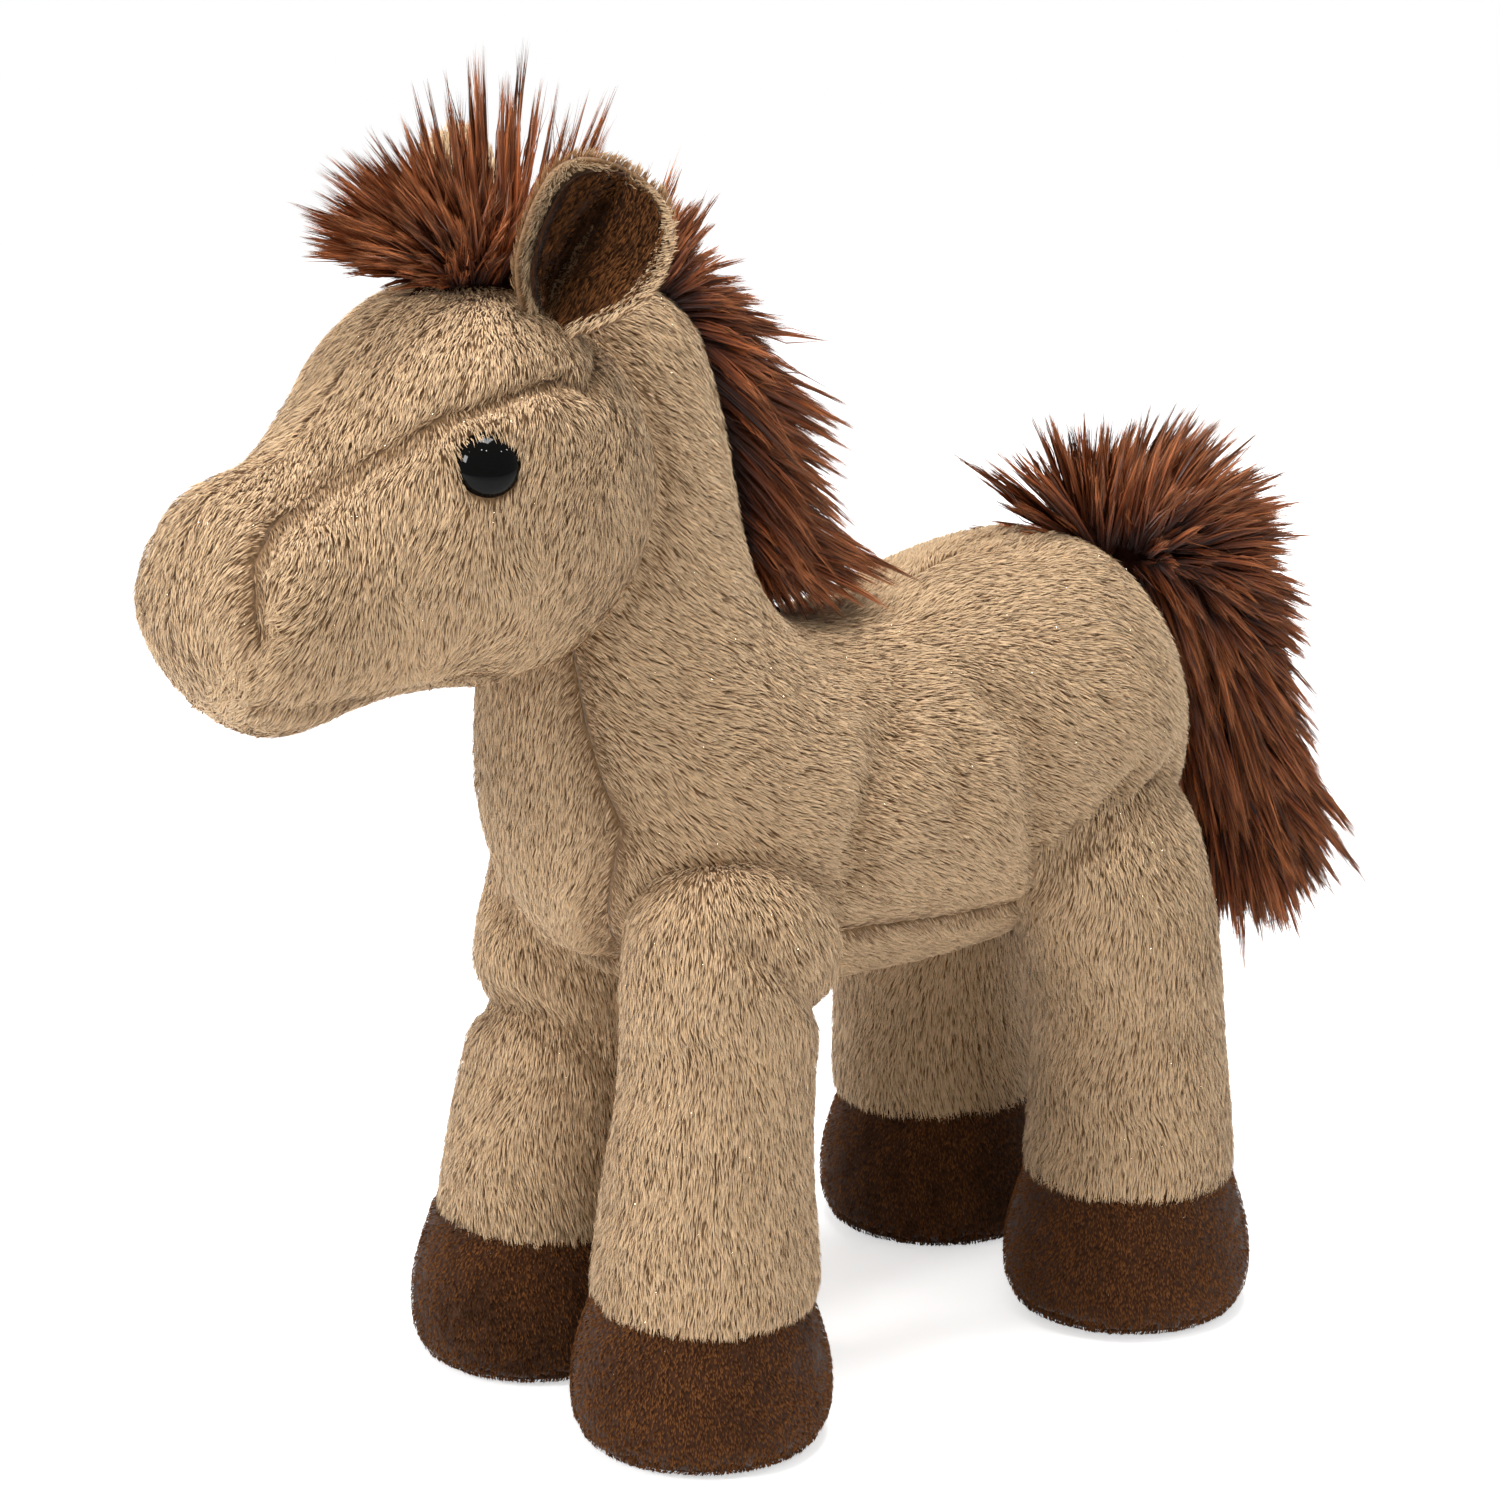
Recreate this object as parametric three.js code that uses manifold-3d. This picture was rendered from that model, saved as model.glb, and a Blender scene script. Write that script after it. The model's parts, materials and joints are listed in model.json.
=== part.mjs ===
// Plush horse, standing. It faces -Y, its left side is +X and +Z is up. All lengths are in millimetres.
// Pile-fabric covers are sewn round loose fibre filling. The head, the ears, the legs and the tail flex
// at the seams that join them, and each of them turns on a round root in a round seat.
import * as THREE from 'three';
import { mergeVertices } from 'three/addons/utils/BufferGeometryUtils.js';
import Module from 'manifold-3d';

const wasm = await Module();
wasm.setup();

// Body and neck
const bodyLength = 214;
const bodyWidth = 112;
const bodyHeight = 116;
const bellyHeight = 105;
const neckHeight = 88;

// Head: the back is an ellipsoid of revolution about the nod axis, the front tapers to the muzzle
const headRadius = 53;
const headWidth = 100;
const muzzleReach = 84;

// Limbs
const hipRadius = 27.5;
const ankleRadius = 30.5;
const hoofRadius = 35;
const hoofHeight = 42;
const soleHeight = 4;
const frontHoofForward = 7.6;
const frontHoofOutward = 2.5;
const rearHoofBack = 2.6;
const rearHoofOutward = 1.5;

// Ears
const earLength = 44;
const earWidth = 37;
const earCupDepth = 8.5;
const earBackThickness = 2;
const earLiningThickness = 1.5;
const earRootRadius = 3.2;
const earRimWidth = 2.6;

// Safety eyes
const eyeRadius = 8.6;
const eyeDomeHeight = 5.6;
const eyePostRadius = 2.4;
const eyePostLength = 15;
const eyeRidgeHeight = 0.35;
const eyeRidgePitch = 2.6;
const washerRadius = 8;
const washerThickness = 1.6;

// Hair
const forelockHeight = 48;
const forelockReach = 47;
const forelockWidth = 50;
const maneHeight = 40;
const maneWidth = 24;
const tailLength = 138;
const tailReach = 88;
const tailWidth = 52;
const tailRootRadius = 7;
const tuftHeight = 34;
const tuftReach = 34;
const tuftWidth = 34;
const lockRadius = 7;
const lockTipRadius = 0.5;

// Cover cloth, seams and running clearances
const coverThickness = 1.6;
const seamGap = 0.35;
const overrun = 20;

// Motion, degrees
const legSwing = 15;

// Facets
const bodySides = 16;
const headSides = 16;
const limbSides = 12;
const earSides = 6;
const hairSides = 8;
const lockSides = 5;
const lockSteps = 3;
const domeSteps = 4;
const seatSides = 18;
const lathSides = 14;

const plush = { color: 0xb8967a, roughness: 0.95, metalness: 0 };
const suede = { color: 0x4b2a19, roughness: 0.9, metalness: 0 };
const hair = { color: 0x7a3a22, roughness: 0.75, metalness: 0 };
const fibre = { color: 0xece9e2, roughness: 1, metalness: 0 };
const glossBlack = { color: 0x0c0807, roughness: 0.12, metalness: 0 };
const nylon = { color: 0xd9d6cf, roughness: 0.5, metalness: 0 };

const up = new THREE.Vector3(0, 0, 1);
const across = new THREE.Vector3(1, 0, 0);
const along = new THREE.Vector3(0, 1, 0);
const vec = (x, y, z) => new THREE.Vector3(x, y, z);
const radians = THREE.MathUtils.degToRad;

// Closed surface through rings of equal counts of points, each end closed by a fan to its middle
function loft(rings) {
  const count = rings[0].length;
  const positions = [];
  const indices = [];
  for (const point of rings.flat()) {
    positions.push(point.x, point.y, point.z);
  }
  for (let ring = 0; ring + 1 < rings.length; ring += 1) {
    for (let side = 0; side < count; side += 1) {
      const a = ring * count + side;
      const b = ring * count + ((side + 1) % count);
      indices.push(a, b, b + count, a, b + count, a + count);
    }
  }
  for (const [ring, turn] of [[0, 1], [rings.length - 1, 0]]) {
    const middle = positions.length / 3;
    const centre = vec(0, 0, 0);
    rings[ring].forEach((point) => centre.addScaledVector(point, 1 / count));
    positions.push(centre.x, centre.y, centre.z);
    for (let side = 0; side < count; side += 1) {
      const a = ring * count + side;
      const b = ring * count + ((side + 1) % count);
      indices.push(middle, turn ? b : a, turn ? a : b);
    }
  }
  const geometry = new THREE.BufferGeometry();
  geometry.setAttribute('position', new THREE.Float32BufferAttribute(positions, 3));
  geometry.setIndex(indices);
  return signedVolume(geometry) < 0 ? turnedInsideOut(geometry) : geometry;
}

function signedVolume(geometry) {
  const { position } = geometry.attributes;
  const index = geometry.index.array;
  const corners = [vec(0, 0, 0), vec(0, 0, 0), vec(0, 0, 0)];
  let volume = 0;
  for (let at = 0; at < index.length; at += 3) {
    corners.forEach((corner, k) => corner.fromBufferAttribute(position, index[at + k]));
    volume += corners[0].dot(corners[1].clone().cross(corners[2])) / 6;
  }
  return volume;
}

function turnedInsideOut(geometry) {
  const index = Array.from(geometry.index.array);
  for (let at = 0; at < index.length; at += 3) {
    [index[at + 1], index[at + 2]] = [index[at + 2], index[at + 1]];
  }
  geometry.setIndex(index);
  return geometry;
}

// The same surface moved inwards along its smooth normals, as the inside of a cover is
function inset(geometry, depth) {
  const inner = geometry.clone();
  inner.computeVertexNormals();
  const { position, normal } = inner.attributes;
  for (let i = 0; i < position.count; i += 1) {
    const moved = vec(0, 0, 0).fromBufferAttribute(position, i);
    moved.addScaledVector(vec(0, 0, 0).fromBufferAttribute(normal, i), -depth);
    position.setXYZ(i, moved.x, moved.y, moved.z);
  }
  inner.deleteAttribute('normal');
  return inner;
}

function merged(geometry) {
  const bare = geometry.clone();
  bare.deleteAttribute('normal');
  bare.deleteAttribute('uv');
  const whole = mergeVertices(bare);
  return signedVolume(whole) < 0 ? turnedInsideOut(whole) : whole;
}

function solidOf(geometry) {
  const whole = merged(geometry);
  return new wasm.Manifold(new wasm.Mesh({
    numProp: 3,
    vertProperties: new Float32Array(whole.attributes.position.array),
    triVerts: new Uint32Array(whole.index.array),
  }));
}

function geometryOf(solid) {
  const mesh = solid.getMesh();
  const geometry = new THREE.BufferGeometry();
  geometry.setAttribute('position', new THREE.BufferAttribute(new Float32Array(mesh.vertProperties), 3));
  geometry.setIndex(new THREE.BufferAttribute(new Uint32Array(mesh.triVerts), 1));
  geometry.computeVertexNormals();
  return geometry;
}

function mirrored(geometry) {
  const copy = geometry.clone();
  copy.scale(-1, 1, 1);
  return turnedInsideOut(copy);
}

const joined = (parts) => parts.reduce((sum, part) => sum.add(part));
const without = (solid, cutters) => cutters.reduce((rest, cutter) => rest.subtract(cutter), solid);
const forSide = (side, geometry) => (side > 0 ? geometry : mirrored(geometry));
const sideName = (side) => (side > 0 ? 'left' : 'right');

function place(group, name, solid, look) {
  const geometry = solid.isBufferGeometry ? solid : geometryOf(solid);
  const mesh = new THREE.Mesh(geometry, new THREE.MeshStandardMaterial(look));
  mesh.name = name;
  group.add(mesh);
  return mesh;
}

// An ellipse of points in the plane of two half-axes. Spread pulls its halves apart into a stadium.
function ellipse(centre, halfAcross, halfDeep, sides, spread = 0) {
  return Array.from({ length: sides }, (_, i) => {
    const angle = (2 * Math.PI * (i + 0.5)) / sides;
    const point = centre.clone().addScaledVector(halfAcross, Math.cos(angle));
    point.addScaledVector(halfDeep, Math.sin(angle));
    return point.addScaledVector(along, spread * Math.sign(Math.sin(angle)));
  });
}

// The outline moved outwards by a margin; its points run either way round
function widened(outline, margin) {
  const turn = Math.sign(THREE.ShapeUtils.area(outline));
  return outline.map((point, i) => {
    const before = outline[(i + outline.length - 1) % outline.length];
    const after = outline[(i + 1) % outline.length];
    const tangent = after.clone().sub(before).normalize();
    return new THREE.Vector2(point.x + tangent.y * margin * turn, point.y - tangent.x * margin * turn);
  });
}

function extruded(outline, length, basis) {
  const shape = new THREE.Shape(outline);
  const geometry = new THREE.ExtrudeGeometry(shape, { depth: length, bevelEnabled: false });
  return solidOf(geometry.translate(0, 0, -length / 2).applyMatrix4(basis));
}

// Cutters with an outline seen from the side (y, z) or from the front (x, z)
const sideView = new THREE.Matrix4().makeBasis(along, up, across);
const frontView = new THREE.Matrix4().makeBasis(across, up, vec(0, -1, 0));
const sideCutter = (outline) => extruded(outline, bodyWidth + overrun, sideView);

// A ball or ellipsoid whose flat facets all lie outside the true surface, so that a part turns in it
function clearBall(halfX, halfY, halfZ) {
  const outside = 1 / (Math.cos(Math.PI / seatSides) * Math.cos(Math.PI / seatSides));
  return new THREE.SphereGeometry(1, seatSides, seatSides / 2).rotateZ(Math.PI / 2)
    .scale((halfX + seamGap) * outside, (halfY + seamGap) * outside, (halfZ + seamGap) * outside);
}

const halfSpace = (side) => {
  const size = 2 * (bodyLength + muzzleReach + neckHeight);
  return solidOf(new THREE.BoxGeometry(size, size, size).translate(side * (size / 2 + seamGap / 2), 0, 0));
};

// Body and neck: one swelling form whose sections turn from upright at the rump to level in the neck.
// Each row is a section: y and height on the back, y and height on the underside, and its width.
// y is a share of bodyLength. A height up to 1 is a share of bodyHeight above the belly, and what
// is over 1 is a share of neckHeight. The width is a share of bodyWidth.
const bodySectionShares = [
  [0.5, 0.58, 0.5, 0.53, 0.09],
  [0.491, 0.72, 0.491, 0.38, 0.36],
  [0.467, 0.84, 0.467, 0.26, 0.6],
  [0.421, 0.94, 0.421, 0.147, 0.77],
  [0.336, 1, 0.346, 0.052, 0.91],
  [0.21, 0.985, 0.224, 0.01, 0.98],
  [0.07, 0.92, 0.093, 0, 1],
  [-0.047, 0.895, -0.056, 0.01, 0.99],
  [-0.121, 0.93, -0.21, 0.034, 0.975],
  [-0.145, 1, -0.346, 0.103, 0.93],
  [-0.159, 1.1, -0.444, 0.224, 0.86],
  [-0.168, 1.215, -0.5, 0.388, 0.777],
  [-0.178, 1.33, -0.523, 0.578, 0.705],
  [-0.187, 1.466, -0.528, 0.776, 0.643],
  [-0.201, 1.61, -0.523, 0.948, 0.598],
  [-0.22, 1.739, -0.514, 1.18, 0.554],
  [-0.248, 1.852, -0.5, 1.443, 0.5],
  [-0.29, 1.943, -0.477, 1.682, 0.41],
  [-0.341, 1.994, -0.453, 1.864, 0.268],
  [-0.379, 2, -0.425, 1.943, 0.107],
];
const heightAt = (share) => (
  bellyHeight + Math.min(share, 1) * bodyHeight + Math.max(share - 1, 0) * neckHeight);
const bodyPoint = (yShare, heightShare) => vec(0, yShare * bodyLength, heightAt(heightShare));

const bodyForm = loft(bodySectionShares.map(([backY, backHeight, underY, underHeight, width]) => {
  const backPoint = bodyPoint(backY, backHeight);
  const underPoint = bodyPoint(underY, underHeight);
  const centre = backPoint.clone().lerp(underPoint, 0.5);
  return ellipse(centre, vec(width * bodyWidth / 2, 0, 0), backPoint.sub(centre), bodySides);
}));
const bodyFilling = solidOf(inset(bodyForm, coverThickness + seamGap));
const bodyOutside = solidOf(inset(bodyForm, -seamGap));

// Head: rows are the share of muzzleReach in front of the nod axis, the top and the bottom as
// shares of headRadius from that axis, and the width as a share of headWidth
const headSectionShares = [
  [0, 1, 1, 1],
  [0.13, 0.965, 0.965, 0.97],
  [0.31, 0.76, 0.93, 0.88],
  [0.464, 0.49, 0.94, 0.78],
  [0.607, 0.3, 1.0, 0.71],
  [0.726, 0.225, 1.02, 0.69],
  [0.833, 0.11, 0.945, 0.66],
  [0.917, -0.06, 0.8, 0.58],
  [0.976, -0.25, 0.62, 0.38],
  [1, -0.38, 0.51, 0.14],
];
const headBackShares = [0.985, 0.9, 0.72, 0.5, 0.25];
const headPlaceShares = [-0.579, 1.443];
const headCentre = bodyPoint(...headPlaceShares);

const headRings = headBackShares.map((share) => {
  const size = Math.sqrt(1 - share * share);
  const centre = vec(0, share * headRadius, 0);
  return ellipse(centre, vec(size * headWidth / 2, 0, 0), vec(0, 0, size * headRadius), headSides);
});
for (const [forward, top, bottom, width] of headSectionShares) {
  const centre = vec(0, -forward * muzzleReach, (top - bottom) / 2 * headRadius);
  const halfDeep = vec(0, 0, (top + bottom) / 2 * headRadius);
  headRings.push(ellipse(centre, vec(width * headWidth / 2, 0, 0), halfDeep, headSides));
}
const headForm = loft(headRings);
const headOutside = solidOf(inset(headForm, -seamGap));
const neckSeat = clearBall(headWidth / 2, headRadius, headRadius)
  .translate(headCentre.x, headCentre.y, headCentre.z);
const neckSeatSolid = solidOf(neckSeat);

// Outward ray on a form: the point that it leaves by and the direction that the surface faces there
function surfaceAt(form, origin, direction) {
  const mesh = new THREE.Mesh(form, new THREE.MeshBasicMaterial({ side: THREE.BackSide }));
  mesh.updateMatrixWorld();
  const [hit] = new THREE.Raycaster(origin, direction.clone().normalize()).intersectObject(mesh);
  return { point: hit.point, normal: hit.face.normal.clone() };
}

// Limb forms have their origin at the middle of the hip, where they turn. Hoof rows are height and
// radius as shares of the hoof's own; leg rows are the share of the way up to the hip and the radius
// as a share of the ankle's.
const hoofShares = [[0, 0.78], [0.09, 0.9], [0.3, 0.99], [0.62, 0.985], [0.99, 0.885]];
const legShares = [[0.03, 1], [0.4, 0.915], [0.74, 0.865]];
const hipAngles = [0, 28, 54, 76];

function limbForm(hip, hoofShift) {
  const leanAt = (share) => hoofShift.clone().multiplyScalar(1 - share);
  const legLength = hip.z - hoofHeight;
  const rings = hoofShares.map(([height, radius]) => {
    const centre = leanAt(0).setZ(height * hoofHeight - hip.z);
    return ellipse(centre, vec(radius * hoofRadius, 0, 0), vec(0, radius * hoofRadius, 0), limbSides);
  });
  for (const [share, radius] of legShares) {
    const centre = leanAt(share).setZ((share - 1) * legLength);
    rings.push(ellipse(centre, vec(radius * ankleRadius, 0, 0), vec(0, radius * ankleRadius, 0), limbSides));
  }
  for (const angle of hipAngles.map(radians)) {
    const radius = Math.cos(angle) * hipRadius;
    const centre = vec(0, 0, Math.sin(angle) * hipRadius);
    rings.push(ellipse(centre, vec(radius, 0, 0), vec(0, radius, 0), limbSides));
  }
  return loft(rings);
}

// The space that a limb's top sweeps: a ball above the hip, a slot that widens downwards below it
function hipSeat(hip) {
  const outside = 1 / (Math.cos(Math.PI / seatSides) * Math.cos(Math.PI / seatSides));
  const radius = (hipRadius + seamGap) * outside;
  const swing = radians(legSwing);
  const drop = hip.z - bellyHeight + overrun;
  const rings = [0, drop].map((depth) => ellipse(
    hip.clone().add(vec(0, 0, -depth)), vec(radius, 0, 0),
    vec(0, radius / Math.cos(swing), 0), seatSides, depth * Math.tan(swing) + depth * seamGap / drop));
  const ball = clearBall(hipRadius, hipRadius, hipRadius).translate(hip.x, hip.y, hip.z);
  return solidOf(ball).add(solidOf(loft(rings)));
}

const frontHipShares = [0.3125, -0.318, 0.25];
const rearHipShares = [0.357, 0.341, 0.19];
const hipAt = (end, side) => {
  const [out, back, height] = end === 'front' ? frontHipShares : rearHipShares;
  return bodyPoint(back, height).setX(side * out * bodyWidth);
};
const hoofShifts = {
  front: vec(frontHoofOutward, -frontHoofForward, 0),
  rear: vec(rearHoofOutward, rearHoofBack, 0),
};
const hipSeats = ['front', 'rear'].flatMap((end) => [1, -1].map((side) => hipSeat(hipAt(end, side))));

// Tail root on the rump, just above the middle of its curve
const tailRootShares = [0.472, 0.9];
const tailRoot = bodyPoint(...tailRootShares);
const tailSeat = solidOf(clearBall(tailRootRadius, tailRootRadius, tailRootRadius)
  .translate(tailRoot.x, tailRoot.y, tailRoot.z));

// Seams of the body, as shares like those of the body's sections. The belly gusset lies under the
// belly seam, and the chest gusset fills the front between the side covers.
const bellySeamShares = [[-0.7, 0.18], [-0.42, 0.19], [-0.16, 0.25], [0.21, 0.19], [0.38, 0.17], [0.6, 0.4]];
const chestSeamShares = [
  [0.1, 1.4], [0.3, 1.05], [0.375, 0.862], [0.43, 0.733], [0.52, 0.569], [0.44, 0.43],
  [0.25, 0.2], [0.18, -0.1],
];
const bellyLow = bodyPoint(0, -1).z;

function bodyCover() {
  const shell = without(solidOf(bodyForm), [solidOf(inset(bodyForm, coverThickness))]);
  return without(shell, [...hipSeats, neckSeatSolid, tailSeat]);
}

function bellyOutline() {
  const seam = bellySeamShares.map(([y, height]) => bodyPoint(y, height));
  const outline = seam.map((point) => new THREE.Vector2(point.y, point.z));
  outline.push(new THREE.Vector2(seam.at(-1).y, bellyLow), new THREE.Vector2(seam[0].y, bellyLow));
  return outline;
}

function chestOutline() {
  const right = chestSeamShares.map(
    ([width, height]) => new THREE.Vector2(width * bodyWidth / 2, heightAt(height)));
  const left = right.map((point) => new THREE.Vector2(-point.x, point.y)).reverse();
  return [...right, ...left];
}

function chestCutter(margin) {
  const depth = bodyLength / 2;
  const cutter = extruded(widened(chestOutline(), margin), depth, frontView);
  return cutter.translate(0, -depth, 0);
}

// The split between the filling of the neck and of the body, seen from the side
const withersShares = [-0.155, 1.06];
const breastShares = [-0.56, 0.4];

function neckOutline() {
  const withers = bodyPoint(...withersShares);
  const breast = bodyPoint(...breastShares);
  const high = bellyHeight + bodyHeight + neckHeight + overrun;
  const behind = withers.y + overrun;
  const before = breast.y - overrun;
  return [[behind, withers.z + overrun], [before, breast.z], [before, high], [behind, high]]
    .map(([y, z]) => new THREE.Vector2(y, z));
}

const torso = new THREE.Group();
{
  const cover = bodyCover();
  const belly = sideCutter(bellyOutline());
  const bellyWide = sideCutter(widened(bellyOutline(), seamGap));
  const upper = without(cover, [bellyWide]);
  const sides = without(upper, [chestCutter(seamGap)]);
  place(torso, 'belly_gusset', cover.intersect(belly), plush);
  place(torso, 'chest_gusset', upper.intersect(chestCutter(0)), plush);
  for (const side of [1, -1]) {
    place(torso, `body_side_${sideName(side)}`, sides.intersect(halfSpace(side)), plush);
  }
  const filling = without(bodyFilling, [...hipSeats, neckSeatSolid, tailSeat]);
  place(torso, 'neck_filling', filling.intersect(sideCutter(neckOutline())), fibre);
  place(torso, 'body_filling', without(filling, [sideCutter(widened(neckOutline(), seamGap))]), fibre);
}

// Legs: each has a plush cover, a suede hoof cover, a sole and its own filling
function addLimb(horse, end, side) {
  const hip = hipAt(end, side);
  const form = forSide(side, limbForm(hip, hoofShifts[end]));
  const shell = solidOf(form).subtract(solidOf(inset(form, coverThickness)));
  const limb = new THREE.Group();
  limb.position.copy(hip);
  const reach = 2 * (hoofRadius + hip.z);
  const slab = (low, high) => solidOf(
    new THREE.BoxGeometry(reach, reach, high - low).translate(0, 0, (low + high) / 2 - hip.z));
  const name = `${end}_${sideName(side)}`;
  place(limb, `${name}_leg_cover`, shell.intersect(slab(hoofHeight + seamGap, reach)), plush);
  place(limb, `${name}_hoof_cover`, shell.intersect(slab(soleHeight + seamGap, hoofHeight)), suede);
  place(limb, `${name}_sole`, shell.intersect(slab(-soleHeight, soleHeight)), suede);
  place(limb, `${name}_leg_filling`, solidOf(inset(form, coverThickness + seamGap)), fibre);
  horse.add(limb);
}

// A pointed lock of hair that starts at its root, bends at its middle and ends at its tip. Its girth
// runs from the root's share to the tip's share of its radius while it closes to a point.
const lockGirthShares = [0.75, 1.25];

function lock(root, bend, tip, radius) {
  const curve = new THREE.QuadraticBezierCurve3(root, bend, tip);
  const rings = Array.from({ length: lockSteps + 1 }, (_, i) => {
    const t = i / lockSteps;
    const tangent = curve.getTangent(t);
    const sideways = tangent.clone().cross(Math.abs(tangent.x) > 0.9 ? up : across).normalize();
    const girth = Math.sqrt(1 - t) * THREE.MathUtils.lerp(...lockGirthShares, t);
    const size = lockTipRadius + (radius - lockTipRadius) * girth;
    const other = tangent.clone().cross(sideways).multiplyScalar(size);
    return ellipse(curve.getPoint(t), sideways.multiplyScalar(size), other, lockSides);
  });
  return solidOf(loft(rings));
}

// Locks from a table of tips, each with a place along the root line
function locks(tips, rootAt, scaleTip, bendAt) {
  return tips.map(([x, y, z, along01, size]) => {
    const root = rootAt(along01);
    const tip = scaleTip(x, y, z);
    return lock(root, bendAt(root, tip), tip, size * lockRadius);
  });
}

// Forelock: locks fan forwards and upwards from a patch between the ears. A tip is its place across,
// forwards and upwards as shares of the forelock's width, reach and height, then its place along the
// patch and its size.
const forelockTipShares = [
  [0.3, 1, 0.42, 0.05, 1.1], [-0.45, 0.96, 0.2, 0.02, 1.1], [0.7, 0.78, 0.62, 0.2, 1.1],
  [-0.4, 0.7, 0.8, 0.25, 1.2], [0.15, 0.4, 0.92, 0.45, 1.2], [-0.75, 0.25, 0.85, 0.5, 1.1],
  [0.65, 0.05, 0.98, 0.65, 1.1], [0, -0.25, 1, 0.8, 1], [-0.5, -0.5, 0.9, 0.9, 0.9],
  [0.9, 0.55, 0.3, 0.2, 1.1], [-0.9, 0.5, 0.35, 0.25, 1.1],
];
const forelockFrontShare = 0.25;
const forelockBackShare = -0.3;
const forelockLiftShare = 0.96;
const forelockBendShare = 0.33;
const forelockDropShare = 0.17;
const forelockPadShare = 0.33;

function forelock() {
  const front = forelockFrontShare * headRadius;
  const back = forelockBackShare * headRadius;
  const rootAt = (share) => vec(0, -THREE.MathUtils.lerp(front, back, share), forelockLiftShare * headRadius);
  const middle = rootAt(0.5);
  const tipAt = (x, y, z) => (
    vec(x * forelockWidth / 2, middle.y - y * forelockReach, headRadius + z * forelockHeight));
  const bendAt = (root, tip) => root.clone().lerp(tip, 0.5).setZ(Math.max(
    root.z + forelockBendShare * forelockHeight, tip.z - forelockDropShare * forelockHeight));
  const pad = new THREE.SphereGeometry(1, hairSides, hairSides / 2)
    .scale(forelockWidth / 2, (front - back + lockRadius) / 2, forelockPadShare * forelockHeight)
    .translate(middle.x, middle.y, middle.z);
  return without(joined([solidOf(pad), ...locks(forelockTipShares, rootAt, tipAt, bendAt)]), [headOutside]);
}

// Mane: a fin of hair along the crest of the neck. Rows are the place on the back line as in the
// body's sections, and the height of the hair as a share of maneHeight.
const manePathShares = [
  [-0.36, 1.985, 0.42], [-0.29, 1.943, 0.64], [-0.248, 1.852, 0.76], [-0.22, 1.739, 0.9], [-0.201, 1.61, 1],
  [-0.187, 1.466, 1.08], [-0.178, 1.33, 1.15], [-0.168, 1.215, 1.15], [-0.15, 1.08, 1.1], [-0.1, 0.93, 0.75],
  [-0.04, 0.9, 0.3],
];
const maneRootShare = -0.14;
const maneLeanShare = 0.45;
const maneLockShares = [1.1, 0.75];
const maneBendShare = 0.125;
const maneSpreadShare = 0.25;
const maneLockGirthShare = 1.2;

function mane() {
  const path = manePathShares.map(([y, height]) => bodyPoint(y, height));
  const rings = path.map((point, i) => {
    const before = path[Math.max(i - 1, 0)];
    const after = path[Math.min(i + 1, path.length - 1)];
    const tangent = after.clone().sub(before).normalize();
    const outward = tangent.clone().cross(across).multiplyScalar(-1);
    const height = manePathShares[i][2] * maneHeight;
    const low = maneRootShare * maneHeight;
    const centre = point.clone().addScaledVector(outward, (height + low) / 2);
    centre.addScaledVector(tangent, maneLeanShare * height / 2);
    const reach = outward.clone().multiplyScalar((height - low) / 2);
    reach.addScaledVector(tangent, maneLeanShare * height / 2);
    return ellipse(centre, vec(maneWidth / 2, 0, 0), reach, hairSides);
  });
  const tips = path.slice(1, -1).map((point, i) => {
    const tangent = path[i + 2].clone().sub(path[i]).normalize();
    const outward = tangent.clone().cross(across).multiplyScalar(-1);
    const height = manePathShares[i + 1][2] * maneHeight;
    const [outShare, downShare] = maneLockShares;
    const tip = point.clone().addScaledVector(outward, outShare * height);
    tip.addScaledVector(tangent, downShare * height);
    tip.x = (i % 2 ? 1 : -1) * maneSpreadShare * maneWidth;
    const root = point.clone().addScaledVector(outward, height / 2);
    const bend = root.clone().lerp(tip, 0.5).addScaledVector(outward, maneBendShare * height);
    return lock(root, bend, tip, maneLockGirthShare * lockRadius);
  });
  return without(joined([solidOf(loft(rings)), ...tips]), [bodyOutside, neckSeatSolid]);
}

// Tail: a plume that rises from its root, turns over and hangs. Rows are the place behind and above
// the root as shares of tailReach and tailLength, the plume's half depth as a share of tailReach and
// its width as a share of tailWidth.
const tailPathShares = [
  [0.03, 0.01, 0.07, 0.3], [0.17, 0.07, 0.15, 0.75], [0.36, 0.08, 0.21, 0.95], [0.51, -0.06, 0.24, 1],
  [0.59, -0.31, 0.29, 1], [0.69, -0.57, 0.32, 1], [0.79, -0.78, 0.3, 0.85], [0.86, -0.92, 0.19, 0.5],
];
const tailTipShares = [
  [0.1, 0.43, 0.25, 0.1, 1], [-0.2, 0.62, 0.18, 0.2, 1.1], [0.2, 0.8, 0.04, 0.3, 1.1],
  [-0.15, 0.86, -0.11, 0.4, 1.1], [0.15, 0.98, -0.34, 0.52, 1.2], [-0.2, 1.1, -0.6, 0.64, 1.2],
  [0.1, 1.2, -0.83, 0.78, 1.2], [0.3, 0.95, -0.94, 0.86, 1.1],
  [-0.3, 0.78, -0.95, 0.8, 1.1], [0.1, 0.62, -0.93, 0.72, 1.1],
];

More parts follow.
